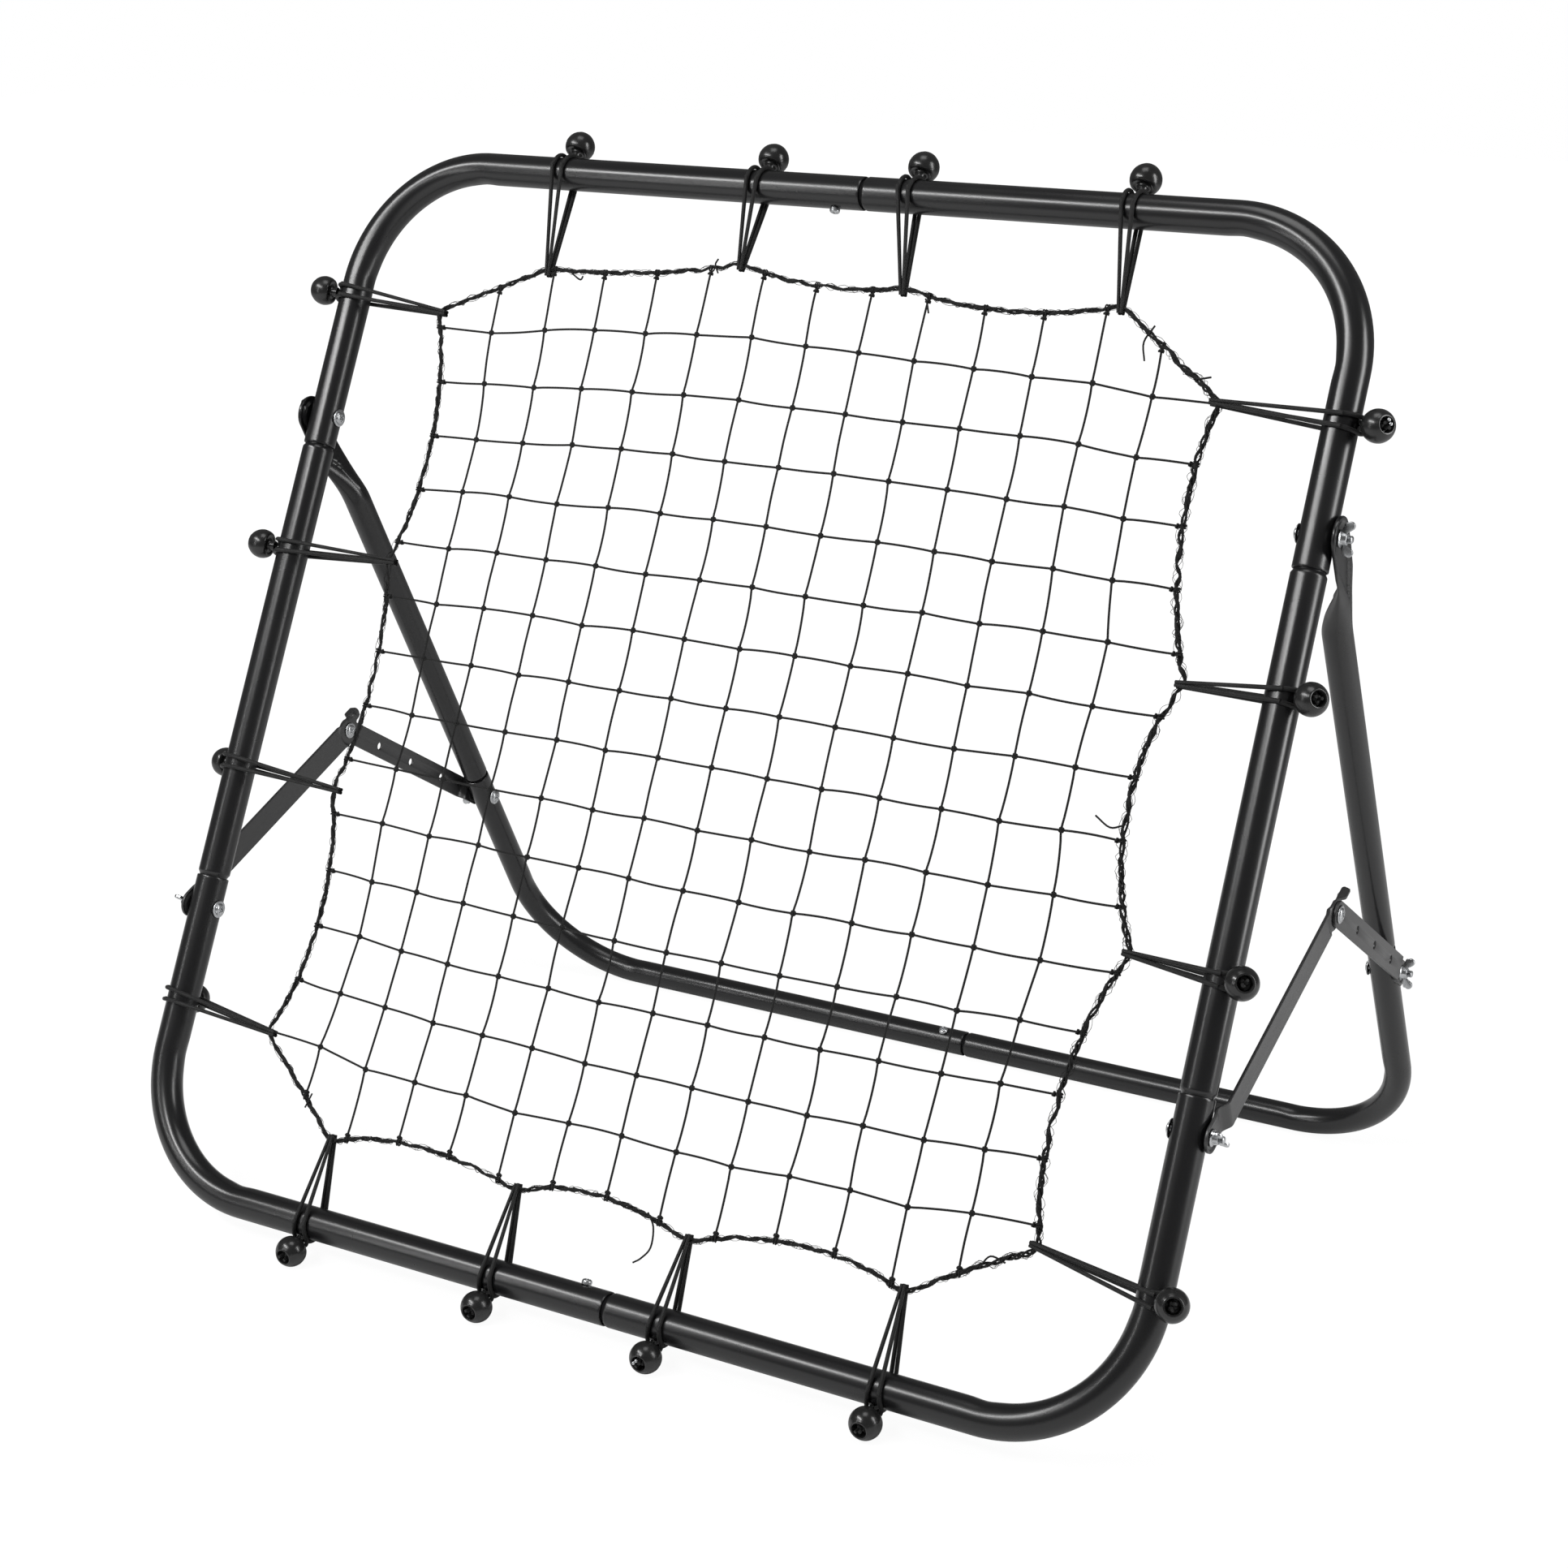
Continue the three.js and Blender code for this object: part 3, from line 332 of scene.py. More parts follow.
# Floor and room: white to the camera, with the object's soft shadow kept on the floor
def whiteRoom():
    world = bpy.data.worlds.new("whiteRoom")
    bpy.context.scene.world = world
    world.use_nodes = True
    tree = world.node_tree
    path = addNode(tree, "ShaderNodeLightPath").outputs
    shown = mathNode(tree, "MAXIMUM", path["Is Camera Ray"], path["Is Transmission Ray"])
    dim = ranged(tree, path["Is Glossy Ray"], 0.0, 1.0, light["world"], light["mirrored"])
    background = tree.nodes["Background"].inputs
    background["Color"].default_value = grey(1)
    tree.links.new(mathNode(tree, "MAXIMUM", shown, dim), background["Strength"])


def paleFloor():
    bm = bmesh.new()
    bmesh.ops.create_grid(bm, x_segments=2, y_segments=2, size=9)
    mesh = bpy.data.meshes.new("floor")
    bm.to_mesh(mesh)
    bm.free()
    material, tree, surface = newMaterial("paleFloor")
    surface["Base Color"].default_value = grey(0.9)
    surface["Roughness"].default_value = 0.9
    surface["Specular IOR Level"].default_value = 0.1
    path = addNode(tree, "ShaderNodeLightPath").outputs
    away = addNode(tree, "ShaderNodeVectorMath", {0: objectPlace(tree)}, operation="LENGTH").outputs["Value"]
    fade = ranged(tree, away, 0.6, 1.1, light["floorGlow"], 1.0)
    seen = mathNode(tree, "MULTIPLY", path["Is Camera Ray"], fade)
    glow = addNode(tree, "ShaderNodeEmission", {"Color": grey(1), "Strength": light["floorWhite"]})
    body = tree.nodes["Principled BSDF"].outputs["BSDF"]
    mixed = addNode(tree, "ShaderNodeMixShader", {0: seen, 1: body, 2: glow.outputs["Emission"]})
    tree.links.new(mixed.outputs["Shader"], tree.nodes["Material Output"].inputs["Surface"])
    mesh.materials.append(material)
    newObject("floor", mesh)


whiteRoom()
paleFloor()
print("room made")


# Making pieces: each is named after the node it dresses, or adds to
def newShape():
    bm = bmesh.new()
    bm.verts.layers.float_vector.new("cordAround")
    bm.verts.layers.float.new("cordAlong")
    return bm


def asMesh(name, bm):
    mesh = bpy.data.meshes.new(name)
    bm.to_mesh(mesh)
    bm.free()
    return mesh


def addPiece(node, part, bm, place, paint, body, sharp=38, extra=False):
    bmesh.ops.transform(bm, matrix=place, verts=bm.verts)
    bmesh.ops.recalc_face_normals(bm, faces=bm.faces)
    for face in bm.faces:
        face.smooth = True
    mesh = asMesh(f"{node}_{part}", bm)
    mesh.set_sharp_from_angle(angle=radians(sharp))
    mesh.materials.append(materials[paint])
    piece = newObject(mesh.name, mesh)
    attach(piece, body)
    if not extra:
        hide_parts(node)


def stamp(bm, mesh, matrix):
    copy = mesh.copy()
    copy.transform(matrix)
    bm.from_mesh(copy)
    bpy.data.meshes.remove(copy)


def merge(bm, part):
    mesh = asMesh("part", part)
    bm.from_mesh(mesh)
    bpy.data.meshes.remove(mesh)


# A skin drawn ring by ring: shape gives each vertex its place and its distance along
def sweep(bm, segments, count, shape, closed=False):
    around = bm.verts.layers.float_vector["cordAround"]
    along = bm.verts.layers.float["cordAlong"]
    ring = bmesh.ops.create_circle(bm, segments=segments, radius=1.0)["verts"]
    for vert in ring:
        vert[around] = vert.co
    edges = list(dict.fromkeys(edge for vert in ring for edge in vert.link_edges))
    first = edges
    for index in range(count):
        if index:
            made = bmesh.ops.extrude_edge_only(bm, edges=edges)["geom"]
            ring = [part for part in made if isinstance(part, bmesh.types.BMVert)]
            edges = [part for part in made if isinstance(part, bmesh.types.BMEdge)]
        for vert in ring:
            vert.co, vert[along] = shape(index, vert[around])
    if closed:
        bmesh.ops.bridge_loops(bm, edges=first + edges)
    else:
        bmesh.ops.edgeloop_fill(bm, edges=first)
        bmesh.ops.edgeloop_fill(bm, edges=edges)


def clamped(value):
    return min(max(value, 0.0), 1.0)


def smooth(value):
    held = clamped(value)
    return held * held * (3 - 2 * held)


def bell(value, middle, width):
    return 1 - smooth(abs(value - middle) / width)


# Bent tubes: a straight, a quarter bend and a straight, all in the tube's own plane
tube = {"front": 14.0, "leg": 12.0, "wall": 1.5, "neckIn": 1.8, "shoulder": 4.0, "frontBend": 114.0,
        "legBend": 110.0, "segments": 48, "bendSteps": 36, "dent": 0.75, "frontSqueeze": 0.018,
        "legSqueeze": 0.02, "support": 4}


def bentPath(start, corner, end, bend):
    into = (corner - start).normalized()
    out = (end - corner).normalized()
    first = (corner - start).length - bend
    arc = bend * pi / 2
    whole = first + arc + (end - corner).length - bend
    hub = corner - into * bend + out * bend

    def at(distance):
        if distance <= first:
            return start + into * distance, into
        if distance >= first + arc:
            return end - out * (whole - distance), out
        angle = (distance - first) / bend
        return hub - out * (bend * cos(angle)) + into * (bend * sin(angle)), into * cos(angle) + out * sin(angle)

    return at, whole, (first, first + arc, hub)


def straightPath(start, end):
    into = (end - start).normalized()
    return lambda distance: (start + into * distance, into), (end - start).length, None


def tubeSkin(bm, path, profile, squeeze=0.0):
    at, _, bent = path
    near, count = tube["support"], tube["bendSteps"]
    steps = []
    for (here, radius), (there, _) in zip(profile, profile[1:]):
        steps.append((here, radius))
        if bent and here < bent[0] and there > bent[1]:
            steps += [(bent[0] - near * k, radius) for k in (4, 3, 2, 1)]
            steps += [(bent[0] + (bent[1] - bent[0]) * k / count, radius) for k in range(count + 1)]
            steps += [(bent[1] + near * k, radius) for k in (1, 2, 3, 4)]
    steps.append(profile[-1])

    def shape(index, turn):
        distance, radius = steps[index]
        centre, direction = at(distance)
        side = direction.cross(Vector((0, 1, 0)))
        oval = 1.0
        dent = 0.0
        if bent:
            # The former leaves a slight flat on the inside where each bend starts
            inner = max(0.0, turn.x) if side.dot(bent[2] - centre) > 0 else max(0.0, -turn.x)
            dent = tube["dent"] * inner * max(bell(distance, bent[0] + 4, 15), bell(distance, bent[1] - 4, 15))
            if bent[0] < distance < bent[1]:
                oval -= squeeze * sin(pi * (distance - bent[0]) / (bent[1] - bent[0]))
        pressed = (radius - dent) / radius
        return centre + side * (turn.x * radius * oval * pressed) + Vector((0, turn.y * radius, 0)), distance

    sweep(bm, tube["segments"], len(steps), shape)


def mirrored(end, whole):
    return [(whole - distance, radius) for distance, radius in reversed(end)]


def socketEnd(radius):
    bore = radius - tube["wall"]
    return [(54, bore), (0.7, bore), (0.15, bore + 0.3), (0, bore + 0.7), (0.25, radius - 0.25), (0.9, radius),
            (2.0, radius), (6.0, radius)]


def neckEnd(radius):
    neck = radius - tube["neckIn"]
    bore = neck - tube["wall"]
    steps = [(44, bore), (0.7, bore), (0, bore + 0.6), (0, neck - 0.5), (0.6, neck), (50.0, neck)]
    for k in range(1, 9):
        steps.append((50.3 + tube["shoulder"] * k / 8, neck + tube["neckIn"] * smooth(k / 8)))
    return steps + [(55.8, radius), (60.0, radius)]


# Where the tubes end, along their centre lines
ends = {"frontNear": 25, "frontFar": 199, "side": 249, "rearNear": {-1: 22, 1: -28}, "rearFar": 455}


def cornerTube(name, side, spots, bend, radius, squeeze, place, body):
    # The left one of a pair is a socket at its near end, the right one a neck
    bm = newShape()
    path = bentPath(*(Vector((x, 0, z)) for x, z in spots), bend)
    near = socketEnd(radius) if side < 0 else neckEnd(radius)
    tubeSkin(bm, path, near + mirrored(socketEnd(radius), path[1]), squeeze)
    addPiece(name, "tube", bm, place, "powder", body)


def sideTube(side):
    bm = newShape()
    path = straightPath(Vector((half * side, 0, ends["side"])), Vector((half * side, 0, -ends["side"])))
    end = neckEnd(tube["front"])
    tubeSkin(bm, path, end + mirrored(end, path[1]))
    addPiece(f"frame_side_tube_{hands[side]}", "skin", bm, onFrame, "powder", "root")


tongue = {
    "face": 483.3,  # outer face, across the stand
    "end": 17.0,  # radius of its round end
    "halfWidth": 16.6,
    "thick": 3.0,
    "rim": 1.9,  # height of the raised wall
    "apex": 60.0,  # where the pressed flat ends, below the pivot
    "vee": 12.2,  # half width of the pressed flat
    "veeLong": 38.0,  # length over which the flat narrows
    "swell": 38.0,  # where the inner side starts to swell
    "round": 98.0,  # where the leg is round again
    "rings": 1.6,  # distance between its rings
}

# The leg's lower end, from the pivot, with its radii
legStraight = [(444, 12.0), (449, 12.0), (450.4, 12.0)]
legNeck = {"shoulderEnd": 454.4, "end": 504.7, "bore": 464}


def legSection(below, around):
    # The tube is crushed flat at its top and swells back to round further down
    across, fore = around.x, around.y
    swell = sin(clamped((below - tongue["swell"]) / (tongue["round"] - tongue["swell"])) * pi / 2) ** 1.3
    halfWide = tongue["halfWidth"] - (tongue["halfWidth"] - tube["leg"]) * smooth((below - 30) / 56)
    if below < 0:
        halfWide = min(halfWide, sqrt(max(tongue["end"] ** 2 - below ** 2, 0.3)))
    toApex = tongue["apex"] - below
    flatLong, flatAfter = (40, 0) if across > 0 else (46, 14)
    flat = clamped((toApex + flatAfter) / flatLong) * (halfWide - 1.3)
    outward = tongue["thick"] / 2 + (tube["leg"] - tongue["thick"] / 2) * swell
    y = halfWide * fore
    edge = hypot(y, max(-below, 0.0))
    # The pressed flat ends in a point, with a raised wall round it
    vee = tongue["vee"] * clamped(toApex / tongue["veeLong"])
    lift = tongue["rim"] * smooth((edge - vee + 1.1) / 2.2) * (1 - smooth(-toApex / 36))
    share = max(0.0, (abs(y) - flat) / max(halfWide - flat, 0.01))
    swing = sqrt(max(0.0, 1 - share * share))
    x = tongue["face"] + lift - outward + outward * swing * (1 if across > 0 else -1)
    return x, y


def upperLeg(side):
    bm = newShape()
    radius, neck, shoulder = tube["leg"], tube["leg"] - tube["neckIn"], tube["shoulder"]
    sections = [(-tongue["end"] * cos(pi / 2 * k / 9), None) for k in range(0, 10)]
    sections += [(tongue["rings"] * k, None) for k in range(1, int(tongue["round"] / tongue["rings"]) + 3)]
    sections += legStraight
    sections += [(legNeck["shoulderEnd"] - shoulder * (1 - k / 8), radius - tube["neckIn"] * smooth(k / 8))
                 for k in range(1, 9)]
    end = legNeck["end"]
    sections += [(end - 0.5, neck), (end, neck - 0.5), (end, neck - 1.0), (end - 0.5, neck - tube["wall"]),
                 (legNeck["bore"], neck - tube["wall"])]

    def shape(index, around):
        below, radius = sections[index]
        if radius is None:
            x, y = legSection(below, around)
        else:
            x, y = layout["legAcross"] + radius * around.x, radius * around.y
        return Vector((x, y, -below)), below

    sweep(bm, tube["segments"] + 16, len(sections), shape)
    addPiece(f"stand_leg_{hands[side]}", "tube", bm, onStand @ flip[side], "powder", "stand", sharp=32)


for side, hand in hands.items():
    for up, level in ((-1, "bottom"), (1, "top")):
        spots = ((-ends["frontNear"] * side, half * up), (half * side, half * up), (half * side, ends["frontFar"] * up))
        cornerTube(f"frame_corner_{level}_{hand}", side, spots, tube["frontBend"], tube["front"],
                   tube["frontSqueeze"], onFrame, "root")
    sideTube(side)
    drop, across = -layout["rearDrop"], layout["legAcross"] * side
    spots = ((ends["rearNear"][side], drop), (across, drop), (across, -ends["rearFar"]))
    cornerTube(f"stand_corner_{hand}", side, spots, tube["legBend"], tube["leg"], tube["legSqueeze"], onStand, "stand")
    upperLeg(side)
print("tubes made")


# Turned parts: profile of distance along the axis and radius
def turnedSkin(bm, profile, segments, place=None, sink=None):
    def shape(index, turn):
        here, radius = profile[index]
        spot = Vector((here, turn.x * radius, turn.y * radius))
        if sink:
            spot.x += sink(spot)
        return (place @ spot if place else spot), here

    sweep(bm, segments, len(profile), shape)


def dome(seat, height, radius, flange=0, flangeHeight=0):
    # From the seat to the crown; the direction is the sign of height
    way = 1 if height > 0 else -1
    profile = []
    if flange:
        profile += [(seat, flange - 0.4), (seat + way * 0.3, flange), (seat + way * (flangeHeight - 0.3), flange),
                    (seat + way * flangeHeight, flange - 0.4), (seat + way * flangeHeight, radius + 0.15)]
        seat += way * flangeHeight
        height -= way * flangeHeight
    for k in range(0, 15):
        turn = k / 14 * pi / 2
        profile.append((seat + height * sin(turn) ** 0.9, max(radius * cos(turn) ** 0.75, 0.12)))
    return profile


def crossSink(seat, depth, reach, width=0.55):
    # A cross recess: depth is signed along the axis, away from the crown
    def sink(spot):
        low, high = sorted((abs(spot.y), abs(spot.z)))
        if (spot.x - seat) * depth > 0:
            return 0.0
        return depth * (1 - smooth((low - width) / 0.45)) * (1 - smooth((high - reach + 0.6) / 0.6))
    return sink


# Flat stock: outlines filled, drawn out to a thickness, with rounded rims
def slab(bm, loops, push):
    edges = []
    for loop in loops:
        verts = [bm.verts.new(spot) for spot in loop]
        edges += [bm.edges.new((verts[k], verts[(k + 1) % len(verts)])) for k in range(len(verts))]
    filled = bmesh.ops.triangle_fill(bm, use_beauty=True, edges=edges)["geom"]
    faces = [part for part in filled if isinstance(part, bmesh.types.BMFace)]
    made = bmesh.ops.extrude_face_region(bm, geom=faces)["geom"]
    raised = [part for part in made if isinstance(part, bmesh.types.BMVert)]
    bmesh.ops.translate(bm, verts=raised, vec=push)
    bmesh.ops.recalc_face_normals(bm, faces=bm.faces)
    return [edge for edge in bm.edges if edge.is_manifold and edge.calc_face_angle() > 0.9]


def rounded(bm, edges, offset, segments):
    bmesh.ops.bevel(bm, geom=edges, offset=offset, segments=segments, profile=0.5, affect="EDGES", material=-1)


bolt = {"radius": 3.0, "head": 7.3, "headHeight": 2.6, "hub": 5.2, "hubHeight": 6.0, "reach": 10.0, "ear": 3.4,
        "earThick": 2.6, "tip": 4.0, "pitch": 0.44}


def wingEar(seat, side):
    # One ear, leaning outwards
    bm = bmesh.new()
    hub, reach, ear, thick = bolt["hub"], bolt["reach"], bolt["ear"], bolt["earThick"]
    top = seat + bolt["hubHeight"]
    outline = [(seat + 0.8, hub - 1.6), (seat + 1.0, hub + 0.4), (top - 2.4, reach + ear - 0.8)]
    for turn in (radians(-40 + 190 * k / 10) for k in range(0, 11)):
        outline.append((top + ear * (0.45 + sin(turn)), reach + ear * cos(turn)))
    outline += [(top - 0.6, hub - 0.6), (top - 0.6, hub - 1.8)]
    rims = slab(bm, [[(x, -thick / 2, side * z) for x, z in outline]], (0, thick, 0))
    rounded(bm, rims, 0.55, 3)
    return bm


def wingNut(seat):
    bm = newShape()
    hub, radius = bolt["hub"], bolt["radius"]
    top = seat + bolt["hubHeight"]
    profile = [(seat, radius + 0.1), (seat, hub + 1.1), (seat + 0.3, hub + 1.5), (seat + 1.0, hub + 1.5),
               (seat + 1.4, hub + 1.1), (seat + 1.8, hub + 0.1)]
    profile += [(seat + 1.8 + (top - seat - 2.1) * k / 5, hub - 0.9 * (k / 5)) for k in range(1, 6)]
    profile += [(top, hub - 1.3), (top, radius + 0.5), (top - 0.5, radius + 0.1)]
    turnedSkin(bm, profile, 32)
    for side in (-1, 1):
        merge(bm, wingEar(seat, side))
    return bm


def threadedTip(start, end):
    profile = []
    here = start
    while here < end - 0.7:
        profile += [(here, bolt["radius"] - 0.05), (here + bolt["pitch"] / 2, bolt["radius"] - 0.42)]
        here += bolt["pitch"]
    return profile + [(end - 0.6, bolt["radius"] - 0.1), (end, bolt["radius"] - 0.8), (end, 0.1)]


def wingBolt(name, headSeat, nutSeat, turn, place, body):
    bm = newShape()
    back = list(reversed(dome(headSeat, -(bolt["headHeight"] + 0.9), 5.4, bolt["head"] + 0.4, 1.1)))
    shank = [(headSeat, bolt["radius"]), (nutSeat - 0.5, bolt["radius"])]
    tip = threadedTip(nutSeat, nutSeat + bolt["hubHeight"] + bolt["tip"])
    turnedSkin(bm, back + shank + tip, 40, sink=crossSink(headSeat - 1.6, 1.7, 3.1))
    merge(bm, wingNut(nutSeat))
    addPiece(name, "parts", bm, place @ turned(radians(turn)), "zinc", body, sharp=42)


# Seats of head and nut across the object, turn of the wings in degrees, place and body
boltUp, legBolt = layout["boltUp"], layout["legBolt"]
wingBolts = {
    "pivot_bolt": (451.7, 483.6, 20, onFrame @ shifted(0, 0, boltUp), "root"),
    "strut_bolt": (451.7, 483.1, 75, onFrame @ shifted(0, 0, -boltUp), "root"),
    "bar_bolt": (459.0, 486.4, -35, onStand @ shifted(0, 0, -legBolt), "stand"),
}
for side, hand in hands.items():
    for name, (headSeat, nutSeat, turn, place, body) in wingBolts.items():
        wingBolt(f"{name}_{hand}", headSeat, nutSeat, turn, place @ flip[side], body)


def jointScrew(name, place, body, radius):
    # A small pan head across a tube joint
    bm = newShape()
    seat = radius + layout["screwGap"]
    profile = [(seat - 7, 0.2), (seat - 7, 2.0), (seat - 6.6, 2.2), (seat - 0.2, 2.2), (seat, 4.2)]
    profile += [(seat + 1.9, 4.4)] + dome(seat + 2.0, 2.4, 4.3)
    turnedSkin(bm, profile, 32, sink=crossSink(seat + 2.8, -1.6, 2.5, 0.45))
    addPiece(name, "head", bm, place, "zinc", body, sharp=42)


down, upwards = turned(pi / 2, "Y"), turned(-pi / 2, "Y")
jointScrew("joint_screw_top", onFrame @ shifted(0, 0, half) @ down, "root", tube["front"])
jointScrew("joint_screw_bottom", onFrame @ shifted(0, 0, -half) @ upwards, "root", tube["front"])
jointScrew("joint_screw_rear", onStand @ shifted(0, 0, -layout["rearDrop"]) @ upwards, "stand", tube["leg"])
print("fasteners made")

# Pressed plates: an outline with holes, cut finely where it is pressed, then pressed
plate = {
    "thick": 2.5,
    "strut": 256.0,  # between the strut's two bolts
    "bar": 224.0,  # between the bar's two bolts
    "strutHalf": 12.0,
    "barHalf": 10.5,
    "strutSeat": 480.3,  # inner face of the strut at its foot, across the object
    "strutWeb": 485.9,  # and beyond its joggle
    "barSeat": 483.6,
    "barWeb": 488.7,
    "hole": 3.5,  # radius of the bar's adjustment holes
    "holeStep": 56,
    "boltHole": 3.3,
    "tabFrom": 257.0,  # where the strut's turned tab starts, and the line it turns about
    "tabLine": -8.5,
    "tabBend": 2.25,
}


def flatPlate(outline, holes):
    bm = newShape()
    loops = [[(0, y, z) for y, z in outline]]
    for y, z, radius in holes:
        turns = [2 * pi * k / 28 for k in range(28)]
        loops.append([(0, y + radius * cos(turn), z + radius * sin(turn)) for turn in turns])
    rims = [edge for edge in slab(bm, loops, (plate["thick"], 0, 0))
            if abs(edge.verts[0].co.x - edge.verts[1].co.x) < 0.1]
    rounded(bm, rims, 0.4, 2)
    return bm


def sliced(bm, axis, low, high, step):
    plane = Vector([1 if k == axis else 0 for k in range(3)])
    where = low
    while where <= high:
        near = [face for face in bm.faces
                if min(v.co[axis] for v in face.verts) < where < max(v.co[axis] for v in face.verts)]
        cut = near + [edge for face in near for edge in face.edges] + [vert for face in near for vert in face.verts]
        geom = list(dict.fromkeys(cut))
        bmesh.ops.bisect_plane(bm, geom=geom, dist=0.001, plane_co=plane * where, plane_no=plane)
        where += step


def pressed(bm, form):
    for vert in bm.verts:
        vert.co = form(vert.co)


def strutShape():
    wide, long, hole = plate["strutHalf"], plate["strut"], plate["boltHole"]
    outline = [(-wide * cos(pi * k / 24), -wide * sin(pi * k / 24)) for k in range(25)]
    outline += [(wide * cos(radians(a)), long + wide * sin(radians(a))) for a in range(0, 96, 5)]
    # The tab beside the pin
    outline += [(-2.2, 268.8), (-3.0, 270), (-3.4, 273.8), (-4.6, 275.3), (-12, 275.8), (-15.6, 274.6),
                (-16.7, 274.0), (-17.0, 273.0), (-17.0, 265.0), (-16.4, 263.4), (-13.0, 260.8), (-12, 259.8)]
    bm = flatPlate(outline, [(0, 0, hole), (0, long, hole)])
    for axis, low, high, step in ((2, -11.2, 27.2, 1.2), (2, 236.5, 275, 1.1), (1, -16.4, 11.4, 0.9)):
        sliced(bm, axis, low, high, step)
    start, line, reach = plate["tabFrom"], plate["tabLine"], plate["tabBend"]

    def form(spot):
        x, y, z = spot
        fromFoot, fromPin = hypot(y, z if z < 0 else z * 0.6), hypot(y, z - long)
        level = plate["strutSeat"] + (plate["strutWeb"] - plate["strutSeat"]) * smooth((z - 17) / 10)
        level += 1.5 * smooth((fromFoot - 8.6) / 2.6) * (1 - smooth((z - 8) / 10))
        level -= 1.3 * bell(fromPin, 15.2, 2.4) * (1 if z < long else 0.4)
        full = smooth((z - start) / 5.5) * pi / 2
        if z <= start or y >= line or full < 0.02:
            return Vector((x + level, y, z))
        offset = x - plate["thick"] / 2
        bend = min((line - y) / reach, full)
        rest = max(0.0, line - y - full * reach)
        return Vector((level + plate["thick"] / 2 + reach - (reach - offset) * cos(bend) + rest * sin(bend),
                       line - (reach - offset) * sin(bend) - rest * cos(bend), z))

    pressed(bm, form)
    return bm


def barShape():
    wide, long, hole = plate["barHalf"], plate["bar"], plate["boltHole"]
    outline = [(-wide, -8), (-6.5, -12), (6.5, -12), (wide, -8)]
    outline += [(wide * cos(pi * k / 24), long + wide * sin(pi * k / 24)) for k in range(25)]
    holes = [(0, plate["holeStep"] * k, plate["hole"]) for k in (1, 2, 3)] + [(0, 0, hole), (0, long, hole)]
    bm = flatPlate(outline, holes)
    sliced(bm, 2, -11, 21.5, 1.2)
    sliced(bm, 1, -9.6, 9.6, 1.2)

    def form(spot):
        x, y, z = spot
        level = plate["barSeat"] + (plate["barWeb"] - plate["barSeat"]) * smooth((z - 11.5) / 9)
        level += 0.9 * smooth((hypot(y, z) - 7.8) / 1.8) * (1 - smooth((z - 6) / 8))
        return Vector((x + level, y, z))

    pressed(bm, form)
    return bm


def braceAngles():
    # Where strut and bar meet, from their two lengths, in the frame's own plane (behind, up)
    opening = radians(layout["tilt"] + layout["standAngle"])
    foot = Vector((0.0, -boltUp))
    leg = Vector((legBolt * sin(opening), boltUp - legBolt * cos(opening)))
    apart = leg - foot
    share = (plate["strut"] ** 2 + apart.length ** 2 - plate["bar"] ** 2) / (2 * apart.length)
    rise = sqrt(plate["strut"] ** 2 - share ** 2)
    along = apart.normalized()
    fromFoot = along * share + Vector((-along.y, along.x)) * rise
    fromLeg = foot + fromFoot - leg
    return atan2(fromFoot.x, fromFoot.y), atan2(fromLeg.x, fromLeg.y) + opening


def pinHead(node, part, profile, sink, place, body, extra):
    bm = newShape()
    turnedSkin(bm, profile, 40, sink=sink)
    addPiece(node, part, bm, place, "zinc", body, sharp=42, extra=extra)


strutTurn, barTurn = braceAngles()
outerHead = [(488.8, 0.2), (488.8, 3.0), (491.4, 3.0)] + dome(491.5, 2.7, 5.4, 7.4, 1.0)
innerHead = list(reversed(dome(485.7, -2.7, 5.4, 7.4, 1.0))) + [(488.6, 3.0), (488.6, 0.2)]
for side, hand in hands.items():
    strutPlace = onFrame @ shifted(0, 0, -boltUp) @ turned(-strutTurn) @ flip[side]
    barPlace = onStand @ shifted(0, 0, -legBolt) @ turned(-barTurn) @ flip[side]
    addPiece(f"brace_strut_{hand}", "plate", strutShape(), strutPlace, "plate", f"strut_{hand}", sharp=35)
    addPiece(f"brace_bar_{hand}", "plate", barShape(), barPlace, "plate", f"bar_{hand}", sharp=35)
    pinHead(f"brace_pin_{hand}", "head", outerHead, crossSink(492.9, -1.5, 3.0),
            barPlace @ shifted(0, 0, plate["bar"]), f"bar_{hand}", False)
    pinHead(f"brace_strut_{hand}", "rivet", innerHead, crossSink(484.4, 1.5, 3.0),
            strutPlace @ shifted(0, 0, plate["strut"]), f"strut_{hand}", True)
print("braces made")

# Hooks of the net: each has its place on the border, its run along the tube and its reach to the tube
reaches = {"top": 78.0, "bottom": 71.0, "side": 96.0, "waist": 90.0}
hookAt = {"inner": 77.0, "outer": 267.0, "low": 103.0, "high": 325.0}

# By hook: pull across and up by the uneven net, sag of the border after it, then the ball's turn round the
# tube, its slide along it and its further turn about its own centre, in degrees and millimetres
hookTable = {
    "top": [(1, -8, 6, -20, -5, 0), (1, 10, 9, -22, 1, 0), (2, 1, 12, -20, -10, 0), (4, 1, 1, -18, -3, 0)],
    "right": [(-2, -6, 17, 12, 13, 26), (12, -3, 25, 30, 2, 14), (16, -4, 21, 44, 10, 16), (1, -9, 2, 46, 24, 20)],
    "bottom": [(-8, -1, 1, 35, 9, 24), (-7, 0, 14, 35, 8, 26), (4, -3, 15, 35, 0, 26), (4, 3, 17, 35, -5, 24)],
    "left": [(-1, 7, 1, 12, 15, 0), (15, 1, 20, 12, -1, 0), (15, 1, 14, -26, 7, 0), (3, 6, 22, -70, 17, 0)],
}


